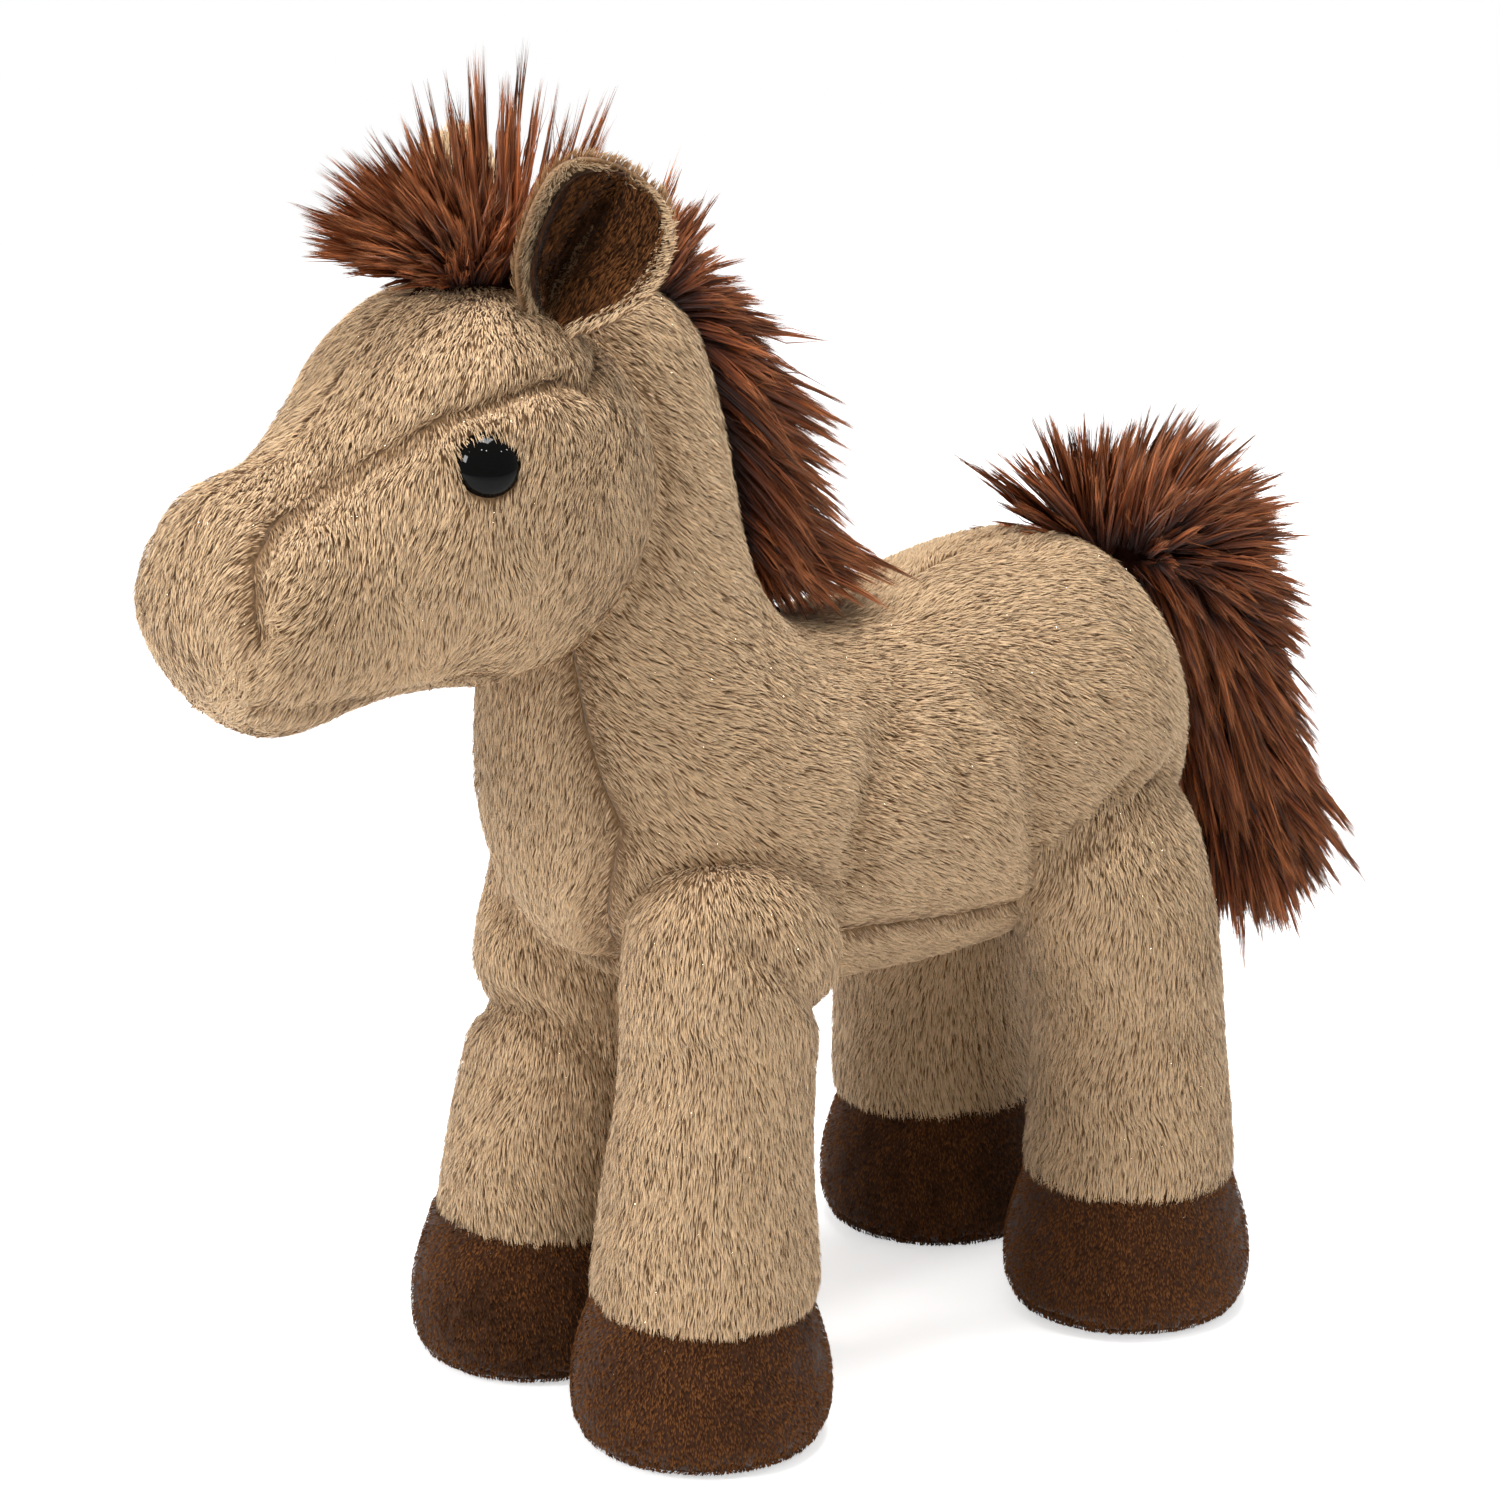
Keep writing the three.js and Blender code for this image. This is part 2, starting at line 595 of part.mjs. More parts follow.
function tail() {
  const path = tailPathShares.map(([back, rise]) => vec(0, back * tailReach, rise * tailLength));
  const curve = new THREE.CatmullRomCurve3(path);
  const rings = path.map((point, i) => {
    const tangent = curve.getTangent(i / (path.length - 1));
    const deep = tangent.clone().cross(across).multiplyScalar(tailPathShares[i][2] * tailReach);
    return ellipse(point, vec(tailPathShares[i][3] * tailWidth / 2, 0, 0), deep, hairSides);
  });
  const rootBall = new THREE.SphereGeometry(tailRootRadius, lathSides, lathSides / 2);
  const tipAt = (x, y, z) => vec(x * tailWidth / 2, y * tailReach, z * tailLength);
  const bendAt = (root, tip) => root.clone().lerp(tip, 0.5).add(vec(0, lockRadius / 2, lockRadius / 2));
  const tips = locks(tailTipShares, (share) => curve.getPoint(share), tipAt, bendAt);
  return joined([solidOf(rootBall), solidOf(loft(rings)), ...tips]);
}

// Tuft sewn to the croup in front of the tail, fanning forwards over the back
const tuftTipShares = [
  [0.3, 1, 0.92, 0.1, 1], [-0.2, 0.92, 0.2, 0.1, 0.9], [0.15, 0.5, 1, 0.6, 1], [-0.4, 0.75, 0.6, 0.4, 0.9],
  [0.6, 0.7, 0.35, 0.3, 0.9],
];
const tuftFrontShares = [0.33, 0.98];
const tuftBackShares = [0.375, 0.98];
const tuftBendShare = 0.17;
const tuftPadShares = [1.4, 1.2];

function croupTuft() {
  const rootAt = (share) => bodyPoint(...tuftFrontShares).lerp(bodyPoint(...tuftBackShares), share);
  const tipAt = (x, y, z) => rootAt(1).add(vec(x * tuftWidth / 2, -y * tuftReach, z * tuftHeight));
  const bendAt = (root, tip) => root.clone().lerp(tip, 0.5).add(vec(0, 0, tuftBendShare * tuftHeight));
  const middle = rootAt(0.5);
  const [deep, high] = tuftPadShares;
  const pad = new THREE.SphereGeometry(1, hairSides, hairSides / 2)
    .scale(tuftWidth / 2, deep * lockRadius, high * lockRadius).translate(middle.x, middle.y, middle.z);
  return without(joined([solidOf(pad), ...locks(tuftTipShares, rootAt, tipAt, bendAt)]), [bodyOutside]);
}

place(torso, 'mane', mane(), hair);
place(torso, 'croup_tuft', croupTuft(), hair);

// Safety eye: a glossy dome with a ridged post that passes the face and takes a lock washer inside
function eyeProfile() {
  const dome = Array.from({ length: domeSteps + 1 }, (_, i) => {
    const angle = (i / domeSteps) * (Math.PI / 2);
    return new THREE.Vector2(eyeRadius * Math.sin(angle), eyeDomeHeight * Math.cos(angle));
  });
  dome[0].x = 0;
  dome.at(-1).y = 0;
  const post = [new THREE.Vector2(eyePostRadius, 0)];
  const firstRidge = coverThickness + washerThickness;
  for (let depth = firstRidge; depth < eyePostLength - eyeRidgePitch; depth += eyeRidgePitch) {
    post.push(new THREE.Vector2(eyePostRadius - eyeRidgeHeight, -depth));
    post.push(new THREE.Vector2(eyePostRadius, -depth - eyeRidgePitch / 2));
  }
  post.push(new THREE.Vector2(eyePostRadius / 2, -eyePostLength), new THREE.Vector2(0, -eyePostLength));
  return [...dome, ...post];
}

function washerProfile() {
  const inner = eyePostRadius + seamGap;
  const outer = washerRadius;
  return [[inner, 0], [outer, 0], [outer, washerThickness], [inner, washerThickness], [inner, 0]]
    .map(([radius, height]) => new THREE.Vector2(radius, height));
}

// The washer rests on the hollow inside of the cover, so its rim decides how deep it sits
const washerDepth = coverThickness + seamGap + washerRadius * washerRadius / headRadius + washerThickness;

function eyePocket() {
  const wide = washerRadius + seamGap;
  const narrow = eyePostRadius + seamGap;
  const floor = -washerDepth - seamGap;
  const bottom = -eyePostLength - seamGap;
  return [[0, 0], [wide, 0], [wide, floor], [narrow, floor], [narrow, bottom], [0, bottom]]
    .map(([radius, height]) => new THREE.Vector2(radius, height));
}

const eyeForwardShare = 0.226;
const eyeRiseShare = 0.29;

function eyePlace(side) {
  const origin = vec(0, -eyeForwardShare * muzzleReach, eyeRiseShare * headRadius);
  const { point, normal } = surfaceAt(headForm, origin, vec(side, 0, 0));
  const turn = new THREE.Quaternion().setFromUnitVectors(along, normal);
  return { seat: point.addScaledVector(normal, seamGap), turn };
}

const lathe = (profile) => merged(new THREE.LatheGeometry(profile, lathSides));
const lathed = (profile, seat, turn) => (
  solidOf(lathe(profile).applyQuaternion(turn).translate(seat.x, seat.y, seat.z)));

// Seams of the head, as shares of muzzleReach forwards and headRadius upwards. The top gusset runs
// from behind the ears over the forehead and down round the nose.
const foreheadSeamShares = [
  [-0.45, 0.78], [-0.19, 0.53], [-0.1, 0.6], [0.06, 0.59], [0.27, 0.5], [0.44, 0.32], [0.63, 0.15],
  [0.785, 0.04], [0.88, -0.09], [0.93, -0.29], [0.91, -0.52], [0.85, -0.74], [0.8, -1.2], [1.2, -1.2],
  [1.2, 1.2], [-0.45, 1.2],
];
const chinSeamShares = [
  [0.84, -0.76], [0.5, -0.82], [0.14, -0.83], [-0.1, -0.86], [-0.3, -0.9], [-0.3, -1.2], [0.84, -1.2],
];
const headOutline = (shares) => shares.map(
  ([forward, rise]) => new THREE.Vector2(-forward * muzzleReach, rise * headRadius));

const head = new THREE.Group();
head.position.copy(headCentre);
{
  const eyes = [1, -1].map((side) => ({ side, ...eyePlace(side) }));
  const holeRadius = eyePostRadius + seamGap;
  const postHole = [[0, overrun], [holeRadius, overrun], [holeRadius, -overrun], [0, -overrun]]
    .map(([radius, height]) => new THREE.Vector2(radius, height));
  const holes = eyes.map(({ seat, turn }) => lathed(postHole, seat, turn));
  const cover = without(solidOf(headForm), [solidOf(inset(headForm, coverThickness)), ...holes]);
  const forehead = headOutline(foreheadSeamShares);
  const chin = headOutline(chinSeamShares);
  const belowForehead = without(cover, [sideCutter(widened(forehead, seamGap))]);
  const cheeks = without(belowForehead, [sideCutter(widened(chin, seamGap))]);
  place(head, 'head_top_gusset', cover.intersect(sideCutter(forehead)), plush);
  place(head, 'chin_gusset', belowForehead.intersect(sideCutter(chin)), plush);
  const pockets = eyes.map(({ seat, turn }) => lathed(eyePocket(), seat, turn));
  place(head, 'head_filling', without(solidOf(inset(headForm, coverThickness + seamGap)), pockets), fibre);
  for (const { side, seat, turn } of eyes) {
    place(head, `head_side_${sideName(side)}`, cheeks.intersect(halfSpace(side)), plush);
    const eye = place(head, `eye_${sideName(side)}`, lathe(eyeProfile()), glossBlack);
    eye.position.copy(seat);
    eye.quaternion.copy(turn);
    const washer = place(head, `eye_washer_${sideName(side)}`, lathe(washerProfile()), nylon);
    washer.quaternion.copy(turn);
    washer.position.copy(seat).addScaledVector(along.clone().applyQuaternion(turn), -washerDepth);
  }
  place(head, 'forelock', forelock(), hair);
}

// Ears: a cupped plush back with a suede lining. Each section is a sheet bent across its width.
// Rows are the share of earLength above the turning axis, and the shares of earWidth and earCupDepth.
const earSectionShares = [
  [-0.062, 0.3, 0.1, 0.35], [0, 0.36, 0.3, 1], [0.12, 0.6, 0.7, 1], [0.3, 0.88, 1, 1], [0.52, 1, 0.95, 1],
  [0.72, 0.95, 0.75, 1], [0.88, 0.78, 0.45, 1], [1, 0.32, 0.12, 0.8],
];

function earSheet(front, back, margin, rows) {
  return loft(rows.map(([rise, width, cup, thick]) => {
    const half = Math.max(width * earWidth / 2 - margin, lockTipRadius);
    const sheet = (offset) => Array.from({ length: earSides + 1 }, (_, i) => {
      const q = (2 * i) / earSides - 1;
      const bow = (0.5 - q * q * (half / (width * earWidth / 2)) ** 2) * cup * earCupDepth;
      return vec(q * half, bow + offset * thick, rise * earLength);
    });
    return [...sheet(back), ...sheet(front).reverse()];
  }));
}

const earUpShares = [0.24, 0.36, 0.9];
const earFacingShares = [0.86, -0.5, 0.1];
const earOutShare = 0.47;
const earBackShare = 0.32;
const earFootShare = 0.115;

function addEar(group, side) {
  const mirror = ([x, y, z]) => vec(side * x, y, z).normalize();
  const top = mirror(earUpShares);
  const backwards = mirror(earFacingShares).negate();
  const width = backwards.clone().cross(top).normalize();
  backwards.crossVectors(top, width).normalize();
  const origin = vec(side * earOutShare * headWidth / 2, earBackShare * headRadius, 0);
  const { point, normal } = surfaceAt(headForm, origin, up);
  const ear = new THREE.Group();
  const rootTilt = Math.abs(width.dot(normal)) * earFootShare * earWidth;
  ear.position.copy(point).addScaledVector(normal, earRootRadius + rootTilt + seamGap);
  ear.quaternion.setFromRotationMatrix(new THREE.Matrix4().makeBasis(width, backwards, top));
  const lining = earSectionShares.slice(2);
  place(ear, `ear_back_${sideName(side)}`, earSheet(0, earBackThickness, 0, earSectionShares), plush);
  const liningBack = -2 * seamGap;
  const liningSheet = earSheet(liningBack - earLiningThickness, liningBack, earRimWidth, lining);
  place(ear, `ear_lining_${sideName(side)}`, liningSheet, suede);
  group.add(ear);
}
for (const side of [1, -1]) {
  addEar(head, side);
}

const tailGroup = new THREE.Group();
tailGroup.position.copy(tailRoot);
place(tailGroup, 'tail', tail(), hair);

const horse = new THREE.Group();
horse.add(torso, head, tailGroup);
for (const end of ['front', 'rear']) {
  for (const side of [1, -1]) {
    addLimb(horse, end, side);
  }
}

// The origin is on the floor, midway between nose and tail
const bounds = new THREE.Box3().setFromObject(horse);
horse.position.y = -(bounds.min.y + bounds.max.y) / 2;

export default horse;
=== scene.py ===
# Plush horse: covers with their pile, hair, eyes and suede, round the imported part.
# Metres. The horse faces -Y, its left side is +X and it stands on the floor at Z 0.
import json
import math

import bmesh
import bpy
import numpy as np
from mathutils import Matrix, Vector
from mathutils.bvhtree import BVHTree


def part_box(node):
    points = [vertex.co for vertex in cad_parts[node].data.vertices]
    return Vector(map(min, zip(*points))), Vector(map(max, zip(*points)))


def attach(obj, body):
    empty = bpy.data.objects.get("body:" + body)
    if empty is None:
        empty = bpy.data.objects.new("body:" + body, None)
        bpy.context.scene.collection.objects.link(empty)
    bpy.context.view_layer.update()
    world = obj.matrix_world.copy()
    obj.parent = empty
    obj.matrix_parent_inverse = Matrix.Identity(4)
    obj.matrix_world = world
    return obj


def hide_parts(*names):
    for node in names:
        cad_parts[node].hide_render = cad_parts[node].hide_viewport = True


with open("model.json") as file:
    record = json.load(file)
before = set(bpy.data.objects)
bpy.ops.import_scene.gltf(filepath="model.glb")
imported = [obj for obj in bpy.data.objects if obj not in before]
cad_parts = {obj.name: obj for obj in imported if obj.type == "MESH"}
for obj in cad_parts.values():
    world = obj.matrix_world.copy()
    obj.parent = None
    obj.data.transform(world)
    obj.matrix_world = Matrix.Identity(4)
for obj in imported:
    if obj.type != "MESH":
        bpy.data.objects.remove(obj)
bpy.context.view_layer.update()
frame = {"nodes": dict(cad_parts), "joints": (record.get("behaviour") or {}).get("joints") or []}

MM = 0.001
SEED = 20
HEAD_SEED = 10
LEG_SEED = 20
HOOF_SEED = 30
EAR_SEED = 50

# Driving sizes of the covers, and the places that the frame gives
BODY_LENGTH = 214 * MM
BODY_WIDTH = 112 * MM
BODY_HEIGHT = 116 * MM
BELLY_HEIGHT = 105 * MM
NECK_HEIGHT = 88 * MM
HEAD_RADIUS = 53 * MM
HEAD_WIDTH = 100 * MM
MUZZLE_REACH = 84 * MM
HOOF_RADIUS = 35 * MM
HOOF_HEIGHT = 42 * MM
SOLE_HEIGHT = 4 * MM
PIVOTS = {joint["name"]: Vector(joint["pos_m"]) for joint in frame["joints"]}
HEAD_PIVOT = PIVOTS["head_nod"]
BODY_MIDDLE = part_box("body_side_left")[1].y - BODY_LENGTH / 2
SIDES = {"left": 1, "right": -1}
CHEST_REACH_SHARE = 0.3
WITHERS_SHARES = (-0.13, 1.03)
WAIST_SHARE = 1.02
# Painted shade that darkens the hooves of the far, right side
FAR_HOOF_SHADE = 0.14
CHEST_LIMIT = BODY_MIDDLE - CHEST_REACH_SHARE * BODY_LENGTH

# Cloth, pile and mesh sizes
PILE_LENGTH = 4.6 * MM
PILE_WIDTH = 0.34 * MM
PILE_DEPTH = 2 * MM
PILE_DENSITY = 2.7e6
NAP_LENGTH = 1.7 * MM
NAP_WIDTH = 0.43 * MM
NAP_DEPTH = 0.7 * MM
NAP_DENSITY = 1.9e6
NAP_BURIED = 1 * MM
NAP_FLOOR_GAP = 1.2 * MM
STRAND_FLOOR_GAP = 0.15 * MM
STRANDS_A_PIECE = 96000
FLAKE = 0.22 * MM
FLAKE_HEIGHT = 0.8 * MM
FLAKE_SHARES = np.array([-0.5, 0, 0.5])
TORSO_BURIED = 5 * MM
HEAD_BURIED = 8 * MM
LEG_BURIED = 8 * MM
CLOTH_THICKNESS = 0.8 * MM
WEAVE_DEPTH = 0.3 * MM
SLACK = 1.4 * MM
WADDING_DEPTH = 2.4 * MM
SEAM_PARTING = 0.7
WITHERS_REACH = 34 * MM
EASING_STEPS = 30
EDGE_SMOOTHING_STEPS = 6
VOXEL = 4.4 * MM
HOOF_VOXEL = 3 * MM
HOOF_OVERLAP = 2 * MM
LOFT_SIDES = 48
HAIR_BASE_SIDES = 20
HAIR_STEPS = 4
HAIR_WIDTH = 0.5 * MM
HAIR_SWAY = 0.5 * MM

# Lengths over which the pile changes its lie, its clumps and its tone
LONG_WAVE = 30 * MM
SHORT_WAVE = 7 * MM
CLUMP = 3 * MM
MOTTLE = 13 * MM
TUCK_REACH = 3 * MM
WAVE_LENGTH_RANGE = (0.7, 1.5)

# How far the strands of the pile wander, and their tone, from 0, the darkest, to 1
LONG_WANDER = 0.22
SHORT_WANDER = 0.08
STRAND_WANDER = 0.09
# Where the pile goes into another part, and in seams and folds as far as it parts there, its tone is
# darkened as painted shade.
TUCKED = 0.6
PARTED_SHORTER = 0.3
STRAND_LENGTH_RANGE = (0.75, 1.1)
STRAND_WIDTH_RANGE = (0.7, 1.3)
STRAND_ANGLE_SPREAD = 6
CLUMP_ANGLE_SPREAD = 2
STRAND_TWIST = 0.35
STRAND_SHADING_SPREAD = 0.3
STRAND_SHADING_LEAN = 0.2
STRAND_TONE = 0.62
STRAND_TONE_SPREAD = 0.2
CLUMP_TONE_SPREAD = 0.1
PARTED_PAINTED_SHADE = 0.5
FLAKE_SHADING_SPREAD = 0.8

# The same for the locks of hair and their strands, and the strays among them
LOCK_ASIDE = 0.8
LOCK_ASIDE_SPREAD = 0.35
LOCK_ASIDE_LIMIT = 1.2
LOCK_LEAVING_SHARE = 0.4
LOCK_ARRIVING_SHARE = 0.35
LOCK_PLACES = (0, 0.3, 0.7, 1)
LOCK_SWELL = (1, 1, 0.75, 0.14)
HAIR_OUTWARD_RISE = 0.35
HAIR_SIDE_REACH = 3 * MM
HAIR_WAVES = 5
HAIR_PHASES = 6
HAIR_ENDS_SHORTER = 0.16
LOCK_WIDTH_RANGE = (0.5, 1.4)
HAIR_WIDTH_RANGE = (0.7, 1.2)
HAIR_TAPER = 0.6
STRAY_SHARE = 0.12
STRAY_SWAY = 3
HAIR_SHADING_SPREAD = 0.25
HAIR_SHADING_OUTWARD = 0.8
HAIR_TONE = 0.5
LOCK_TONE_SPREAD = 0.17
HAIR_TONE_SPREAD = 0.22
# Outer strands of a lock lighter and inner ones darker: painted light and shade.
HAIR_LOCK_PAINTED_SHADE = 0.15

# The cloth simulation: its steps, the pressure of the filling, and how far the cloth may go
CLOTH_STEPS = 20
CLOTH_PRESSURE = 4
CLOTH_MASS = 0.25
CLOTH_BENDING = 1.5
CLOTH_QUALITY = 5
CLOTH_REACH = 5 * MM
SEAM_HOLD_SHARE = 0.02

# Ears and eyes
EAR_LENGTH = 44 * MM
EAR_WIDTH = 40 * MM
EAR_CUP_DEPTH = 8.5 * MM
EAR_RIM_WIDTH = 2.4 * MM
EAR_FRONT_RIM_WIDTH = 5.5 * MM
EAR_FOLD_DEPTH = 6 * MM
EAR_CURL = 4 * MM
EAR_INSET = 3 * MM
EAR_FORWARD = 5.5 * MM
EAR_DROP = 4.1 * MM
EAR_BACK_OFFSET = 1.4 * MM
EAR_LINING_OFFSET = -0.7 * MM
EAR_BACK_THICKNESS = 1.2 * MM
EAR_RIM_OVERLAP = 1.5 * MM
EAR_FOLD_WIDTH = 4.5 * MM
EAR_LEAST_HALF_WIDTH = 0.6 * MM
EAR_BURIED = 1 * MM
EYE_RADIUS = 8.2 * MM
EYE_DOME_HEIGHT = 5.4 * MM
EYE_POST_RADIUS = 2.4 * MM
EYE_POST_LENGTH = 14 * MM
EYE_SINK = 2.9 * MM
EYE_EDGE = 0.5 * MM
EYE_BACK = 0.6 * MM
EYE_HOLLOW_DEPTH = 1.2 * MM
EYE_HOLLOW_REACH = 1.15
# The pile parts over the eye's hollow and is darkened there as painted shade.
EYE_HOLLOW_PARTING = 0.25
EYE_FRINGE_LIFT = (26, 12)
EYE_FRINGE_REACH = 1.5
EYE_CLEAR_SHARE = 0.95
EYE_LID_SHARE = 0.08

# The photograph's camera
PHOTO_SIDE = 1500
LENS = 108
SENSOR = 36
FOCAL_PIXELS = PHOTO_SIDE * LENS / SENSOR
CAMERA_AZIMUTH = math.radians(51.5)
CAMERA_HEIGHT_ANGLE = math.radians(16.28)
CAMERA_DISTANCE = 1215 * MM
AIM = Vector((0, -28.7 * MM, 173 * MM))
BACK = Vector((math.sin(CAMERA_AZIMUTH) * math.cos(CAMERA_HEIGHT_ANGLE),
               -math.cos(CAMERA_AZIMUTH) * math.cos(CAMERA_HEIGHT_ANGLE),
               math.sin(CAMERA_HEIGHT_ANGLE)))
RIGHT = Vector((math.cos(CAMERA_AZIMUTH), math.sin(CAMERA_AZIMUTH), 0))
UP = BACK.cross(RIGHT)
EYE_POINT = AIM + BACK * CAMERA_DISTANCE
CLIP_RANGE = (0.05, 20)

# Lamps: name, place, size and power. The glints are small lamps that the left eye mirrors at pixels
# of the photograph.
LAMPS = [("key", (-0.1, -1.4, 0.95), 0.4, 13.5), ("top", (0.05, 0, 1.65), 0.6, 23)]
WORLD_LEVEL = 0.38
FLOOR_SIZE = 1.7
FLOOR_LIFT = 0.6
GLINT_PIXELS = [(480, 449), (487, 452), (502, 452), (508, 450), (517, 450)]
GLINT_DISTANCE = 1.3
GLINT_SIZE = 0.05
GLINT_POWER = 0.7


def add_camera():
    data = bpy.data.cameras.new("photo_camera")
    data.lens = LENS
    data.sensor_width = SENSOR
    data.clip_start, data.clip_end = CLIP_RANGE
    camera = bpy.data.objects.new("photo_camera", data)
    turn = Matrix((RIGHT, UP, BACK)).transposed().to_4x4()
    camera.matrix_world = Matrix.Translation(EYE_POINT) @ turn
    bpy.context.scene.collection.objects.link(camera)
    bpy.context.scene.camera = camera
    bpy.context.scene.view_settings.view_transform = "Standard"


def photo_ray(pixel):
    """Direction from the camera through a pixel of the 1500 x 1500 photograph."""
    right = (pixel[0] - PHOTO_SIDE / 2) / FOCAL_PIXELS
    down = (pixel[1] - PHOTO_SIDE / 2) / FOCAL_PIXELS
    return (RIGHT * right - UP * down - BACK).normalized()


# Lamps, floor and world
def add_lamp(name, place, size, power):
    data = bpy.data.lights.new(name, "AREA")
    data.size = size
    data.energy = power
    lamp = bpy.data.objects.new(name, data)
    lamp.location = place
    lamp.rotation_euler = (AIM - place).to_track_quat("-Z", "Y").to_euler()
    bpy.context.scene.collection.objects.link(lamp)


def add_glints(eye):
    """Small lamps, each where an eye mirrors it at a pixel of the photograph."""
    tree = tree_of(eye)
    for pixel in GLINT_PIXELS:
        hit, normal, _, _ = tree.ray_cast(EYE_POINT, photo_ray(pixel))
        if hit is not None:
            place = hit + photo_ray(pixel).reflect(normal) * GLINT_DISTANCE
            add_lamp("glint", place, GLINT_SIZE, GLINT_POWER)


def seen_rays(nodes, links):
    """1 for rays that the camera sees straight or through clear pieces, and 0 for the rest."""
    path = nodes.new("ShaderNodeLightPath")
    seen = nodes.new("ShaderNodeMath")
    seen.operation = "MAXIMUM"
    links.new(path.outputs["Is Camera Ray"], seen.inputs[0])
    links.new(path.outputs["Is Transmission Ray"], seen.inputs[1])
    return seen.outputs[0]


def add_floor():
    bm = bmesh.new()
    bmesh.ops.create_grid(bm, x_segments=1, y_segments=1, size=FLOOR_SIZE)
    floor = new_piece("floor", from_bmesh("floor", bm))
    look = material("floor", grey(0.9), 0.9, 0.1)
    nodes, links = look.node_tree.nodes, look.node_tree.links
    lift = nodes.new("ShaderNodeMath")
    lift.operation = "MULTIPLY"
    lift.inputs[1].default_value = FLOOR_LIFT
    links.new(seen_rays(nodes, links), lift.inputs[0])
    glow = nodes.new("ShaderNodeEmission")
    glow.inputs["Color"].default_value = grey(1)
    links.new(lift.outputs[0], glow.inputs["Strength"])
    total = nodes.new("ShaderNodeAddShader")
    links.new(nodes["Principled BSDF"].outputs["BSDF"], total.inputs[0])
    links.new(glow.outputs["Emission"], total.inputs[1])
    links.new(total.outputs[0], nodes["Material Output"].inputs["Surface"])
    floor.data.materials.append(look)


def add_world():
    world = bpy.data.worlds.new("studio")
    bpy.context.scene.world = world
    world.use_nodes = True
    nodes, links = world.node_tree.nodes, world.node_tree.links
    level = nodes.new("ShaderNodeMapRange")
    level.inputs["To Min"].default_value = WORLD_LEVEL
    level.inputs["To Max"].default_value = 1
    links.new(seen_rays(nodes, links), level.inputs["Value"])
    background = nodes["Background"]
    background.inputs["Color"].default_value = grey(1)
    links.new(level.outputs["Result"], background.inputs["Strength"])


# Mesh tools
def new_piece(name, mesh):
    piece = bpy.data.objects.new(name, mesh)
    bpy.context.scene.collection.objects.link(piece)
    return piece


def from_bmesh(name, bm):
    mesh = bpy.data.meshes.new(name)
    bm.to_mesh(mesh)
    bm.free()
    mesh.polygons.foreach_set("use_smooth", np.ones(len(mesh.polygons), bool))
    return mesh


def baked(piece):
    """The piece with its modifiers made part of its mesh."""
    graph = bpy.context.evaluated_depsgraph_get()
    mesh = bpy.data.meshes.new_from_object(piece.evaluated_get(graph))
    piece.modifiers.clear()
    old = piece.data
    piece.data = mesh
    bpy.data.meshes.remove(old)
    return piece


def points_of(mesh):
    co = np.empty(len(mesh.vertices) * 3, np.float32)
    mesh.vertices.foreach_get("co", co)
    return co.reshape(-1, 3).astype(float)


def normals_of(mesh):
    values = np.empty(len(mesh.vertices) * 3, np.float32)
    mesh.vertices.foreach_get("normal", values)
    return values.reshape(-1, 3).astype(float)


def set_points(mesh, points):
    mesh.vertices.foreach_set("co", points.astype(np.float32).ravel())
    mesh.update()


def unit(vectors):
    return vectors / np.maximum(np.linalg.norm(vectors, axis=-1, keepdims=True), 1e-12)


def smooth_rows(rows, steps):
    """Rows on a smooth curve through the given ones."""
    rows = np.asarray(rows, float)
    made = []
    for i in range(len(rows) - 1):
        before, after = rows[max(i - 1, 0)], rows[min(i + 2, len(rows) - 1)]
        start, end = rows[i], rows[i + 1]
        bend = 2 * before - 5 * start + 4 * end - after
        twist = 3 * start - before - 3 * end + after
        for step in range(steps):
            t = step / steps
            made.append(0.5 * (2 * start + (end - before) * t + bend * t ** 2 + twist * t ** 3))
    made.append(rows[-1])
    return np.array(made)


def loft(name, rings, sides=LOFT_SIDES):
    """Closed surface through elliptical rings, each a centre and two half-axes."""
    bm = bmesh.new()
    loops = []
    for centre, across, deep in rings:
        across, deep = Vector(across), Vector(deep)
        place = Matrix((across, deep, across.cross(deep).normalized())).transposed().to_4x4()
        place.translation = Vector(centre)
        made = bmesh.ops.create_circle(bm, segments=sides, radius=1, matrix=place)
        loops.append({edge for vert in made["verts"] for edge in vert.link_edges})
    for before, after in zip(loops, loops[1:]):
        bmesh.ops.bridge_loops(bm, edges=list(before | after))
    for end in (loops[0], loops[-1]):
        bmesh.ops.holes_fill(bm, edges=list(end), sides=sides)
    bmesh.ops.recalc_face_normals(bm, faces=bm.faces)
    return new_piece(name, from_bmesh(name, bm))


def remeshed(piece, voxel=VOXEL):
    modifier = piece.modifiers.new("remesh", "REMESH")
    modifier.mode = "VOXEL"
    modifier.voxel_size = voxel
    modifier.use_smooth_shade = True
    return baked(piece)


def subdivided(piece):
    modifier = piece.modifiers.new("smooth", "SUBSURF")
    modifier.levels = modifier.render_levels = 1
    return baked(piece)


def moved_in(piece, depth):
    set_points(piece.data, points_of(piece.data) - normals_of(piece.data) * depth)
    return piece


def tree_of(piece):
    corners = [tuple(polygon.vertices) for polygon in piece.data.polygons]
    return BVHTree.FromPolygons([vertex.co for vertex in piece.data.vertices], corners)


def depth_inside(tree, points):
    """How far each point lies inside a closed surface, negative outside."""
    depths = np.empty(len(points))
    for i, point in enumerate(points):
        nearest, normal, _, _ = tree.find_nearest(Vector(point))
        depths[i] = (nearest - Vector(point)).dot(normal)
    return depths


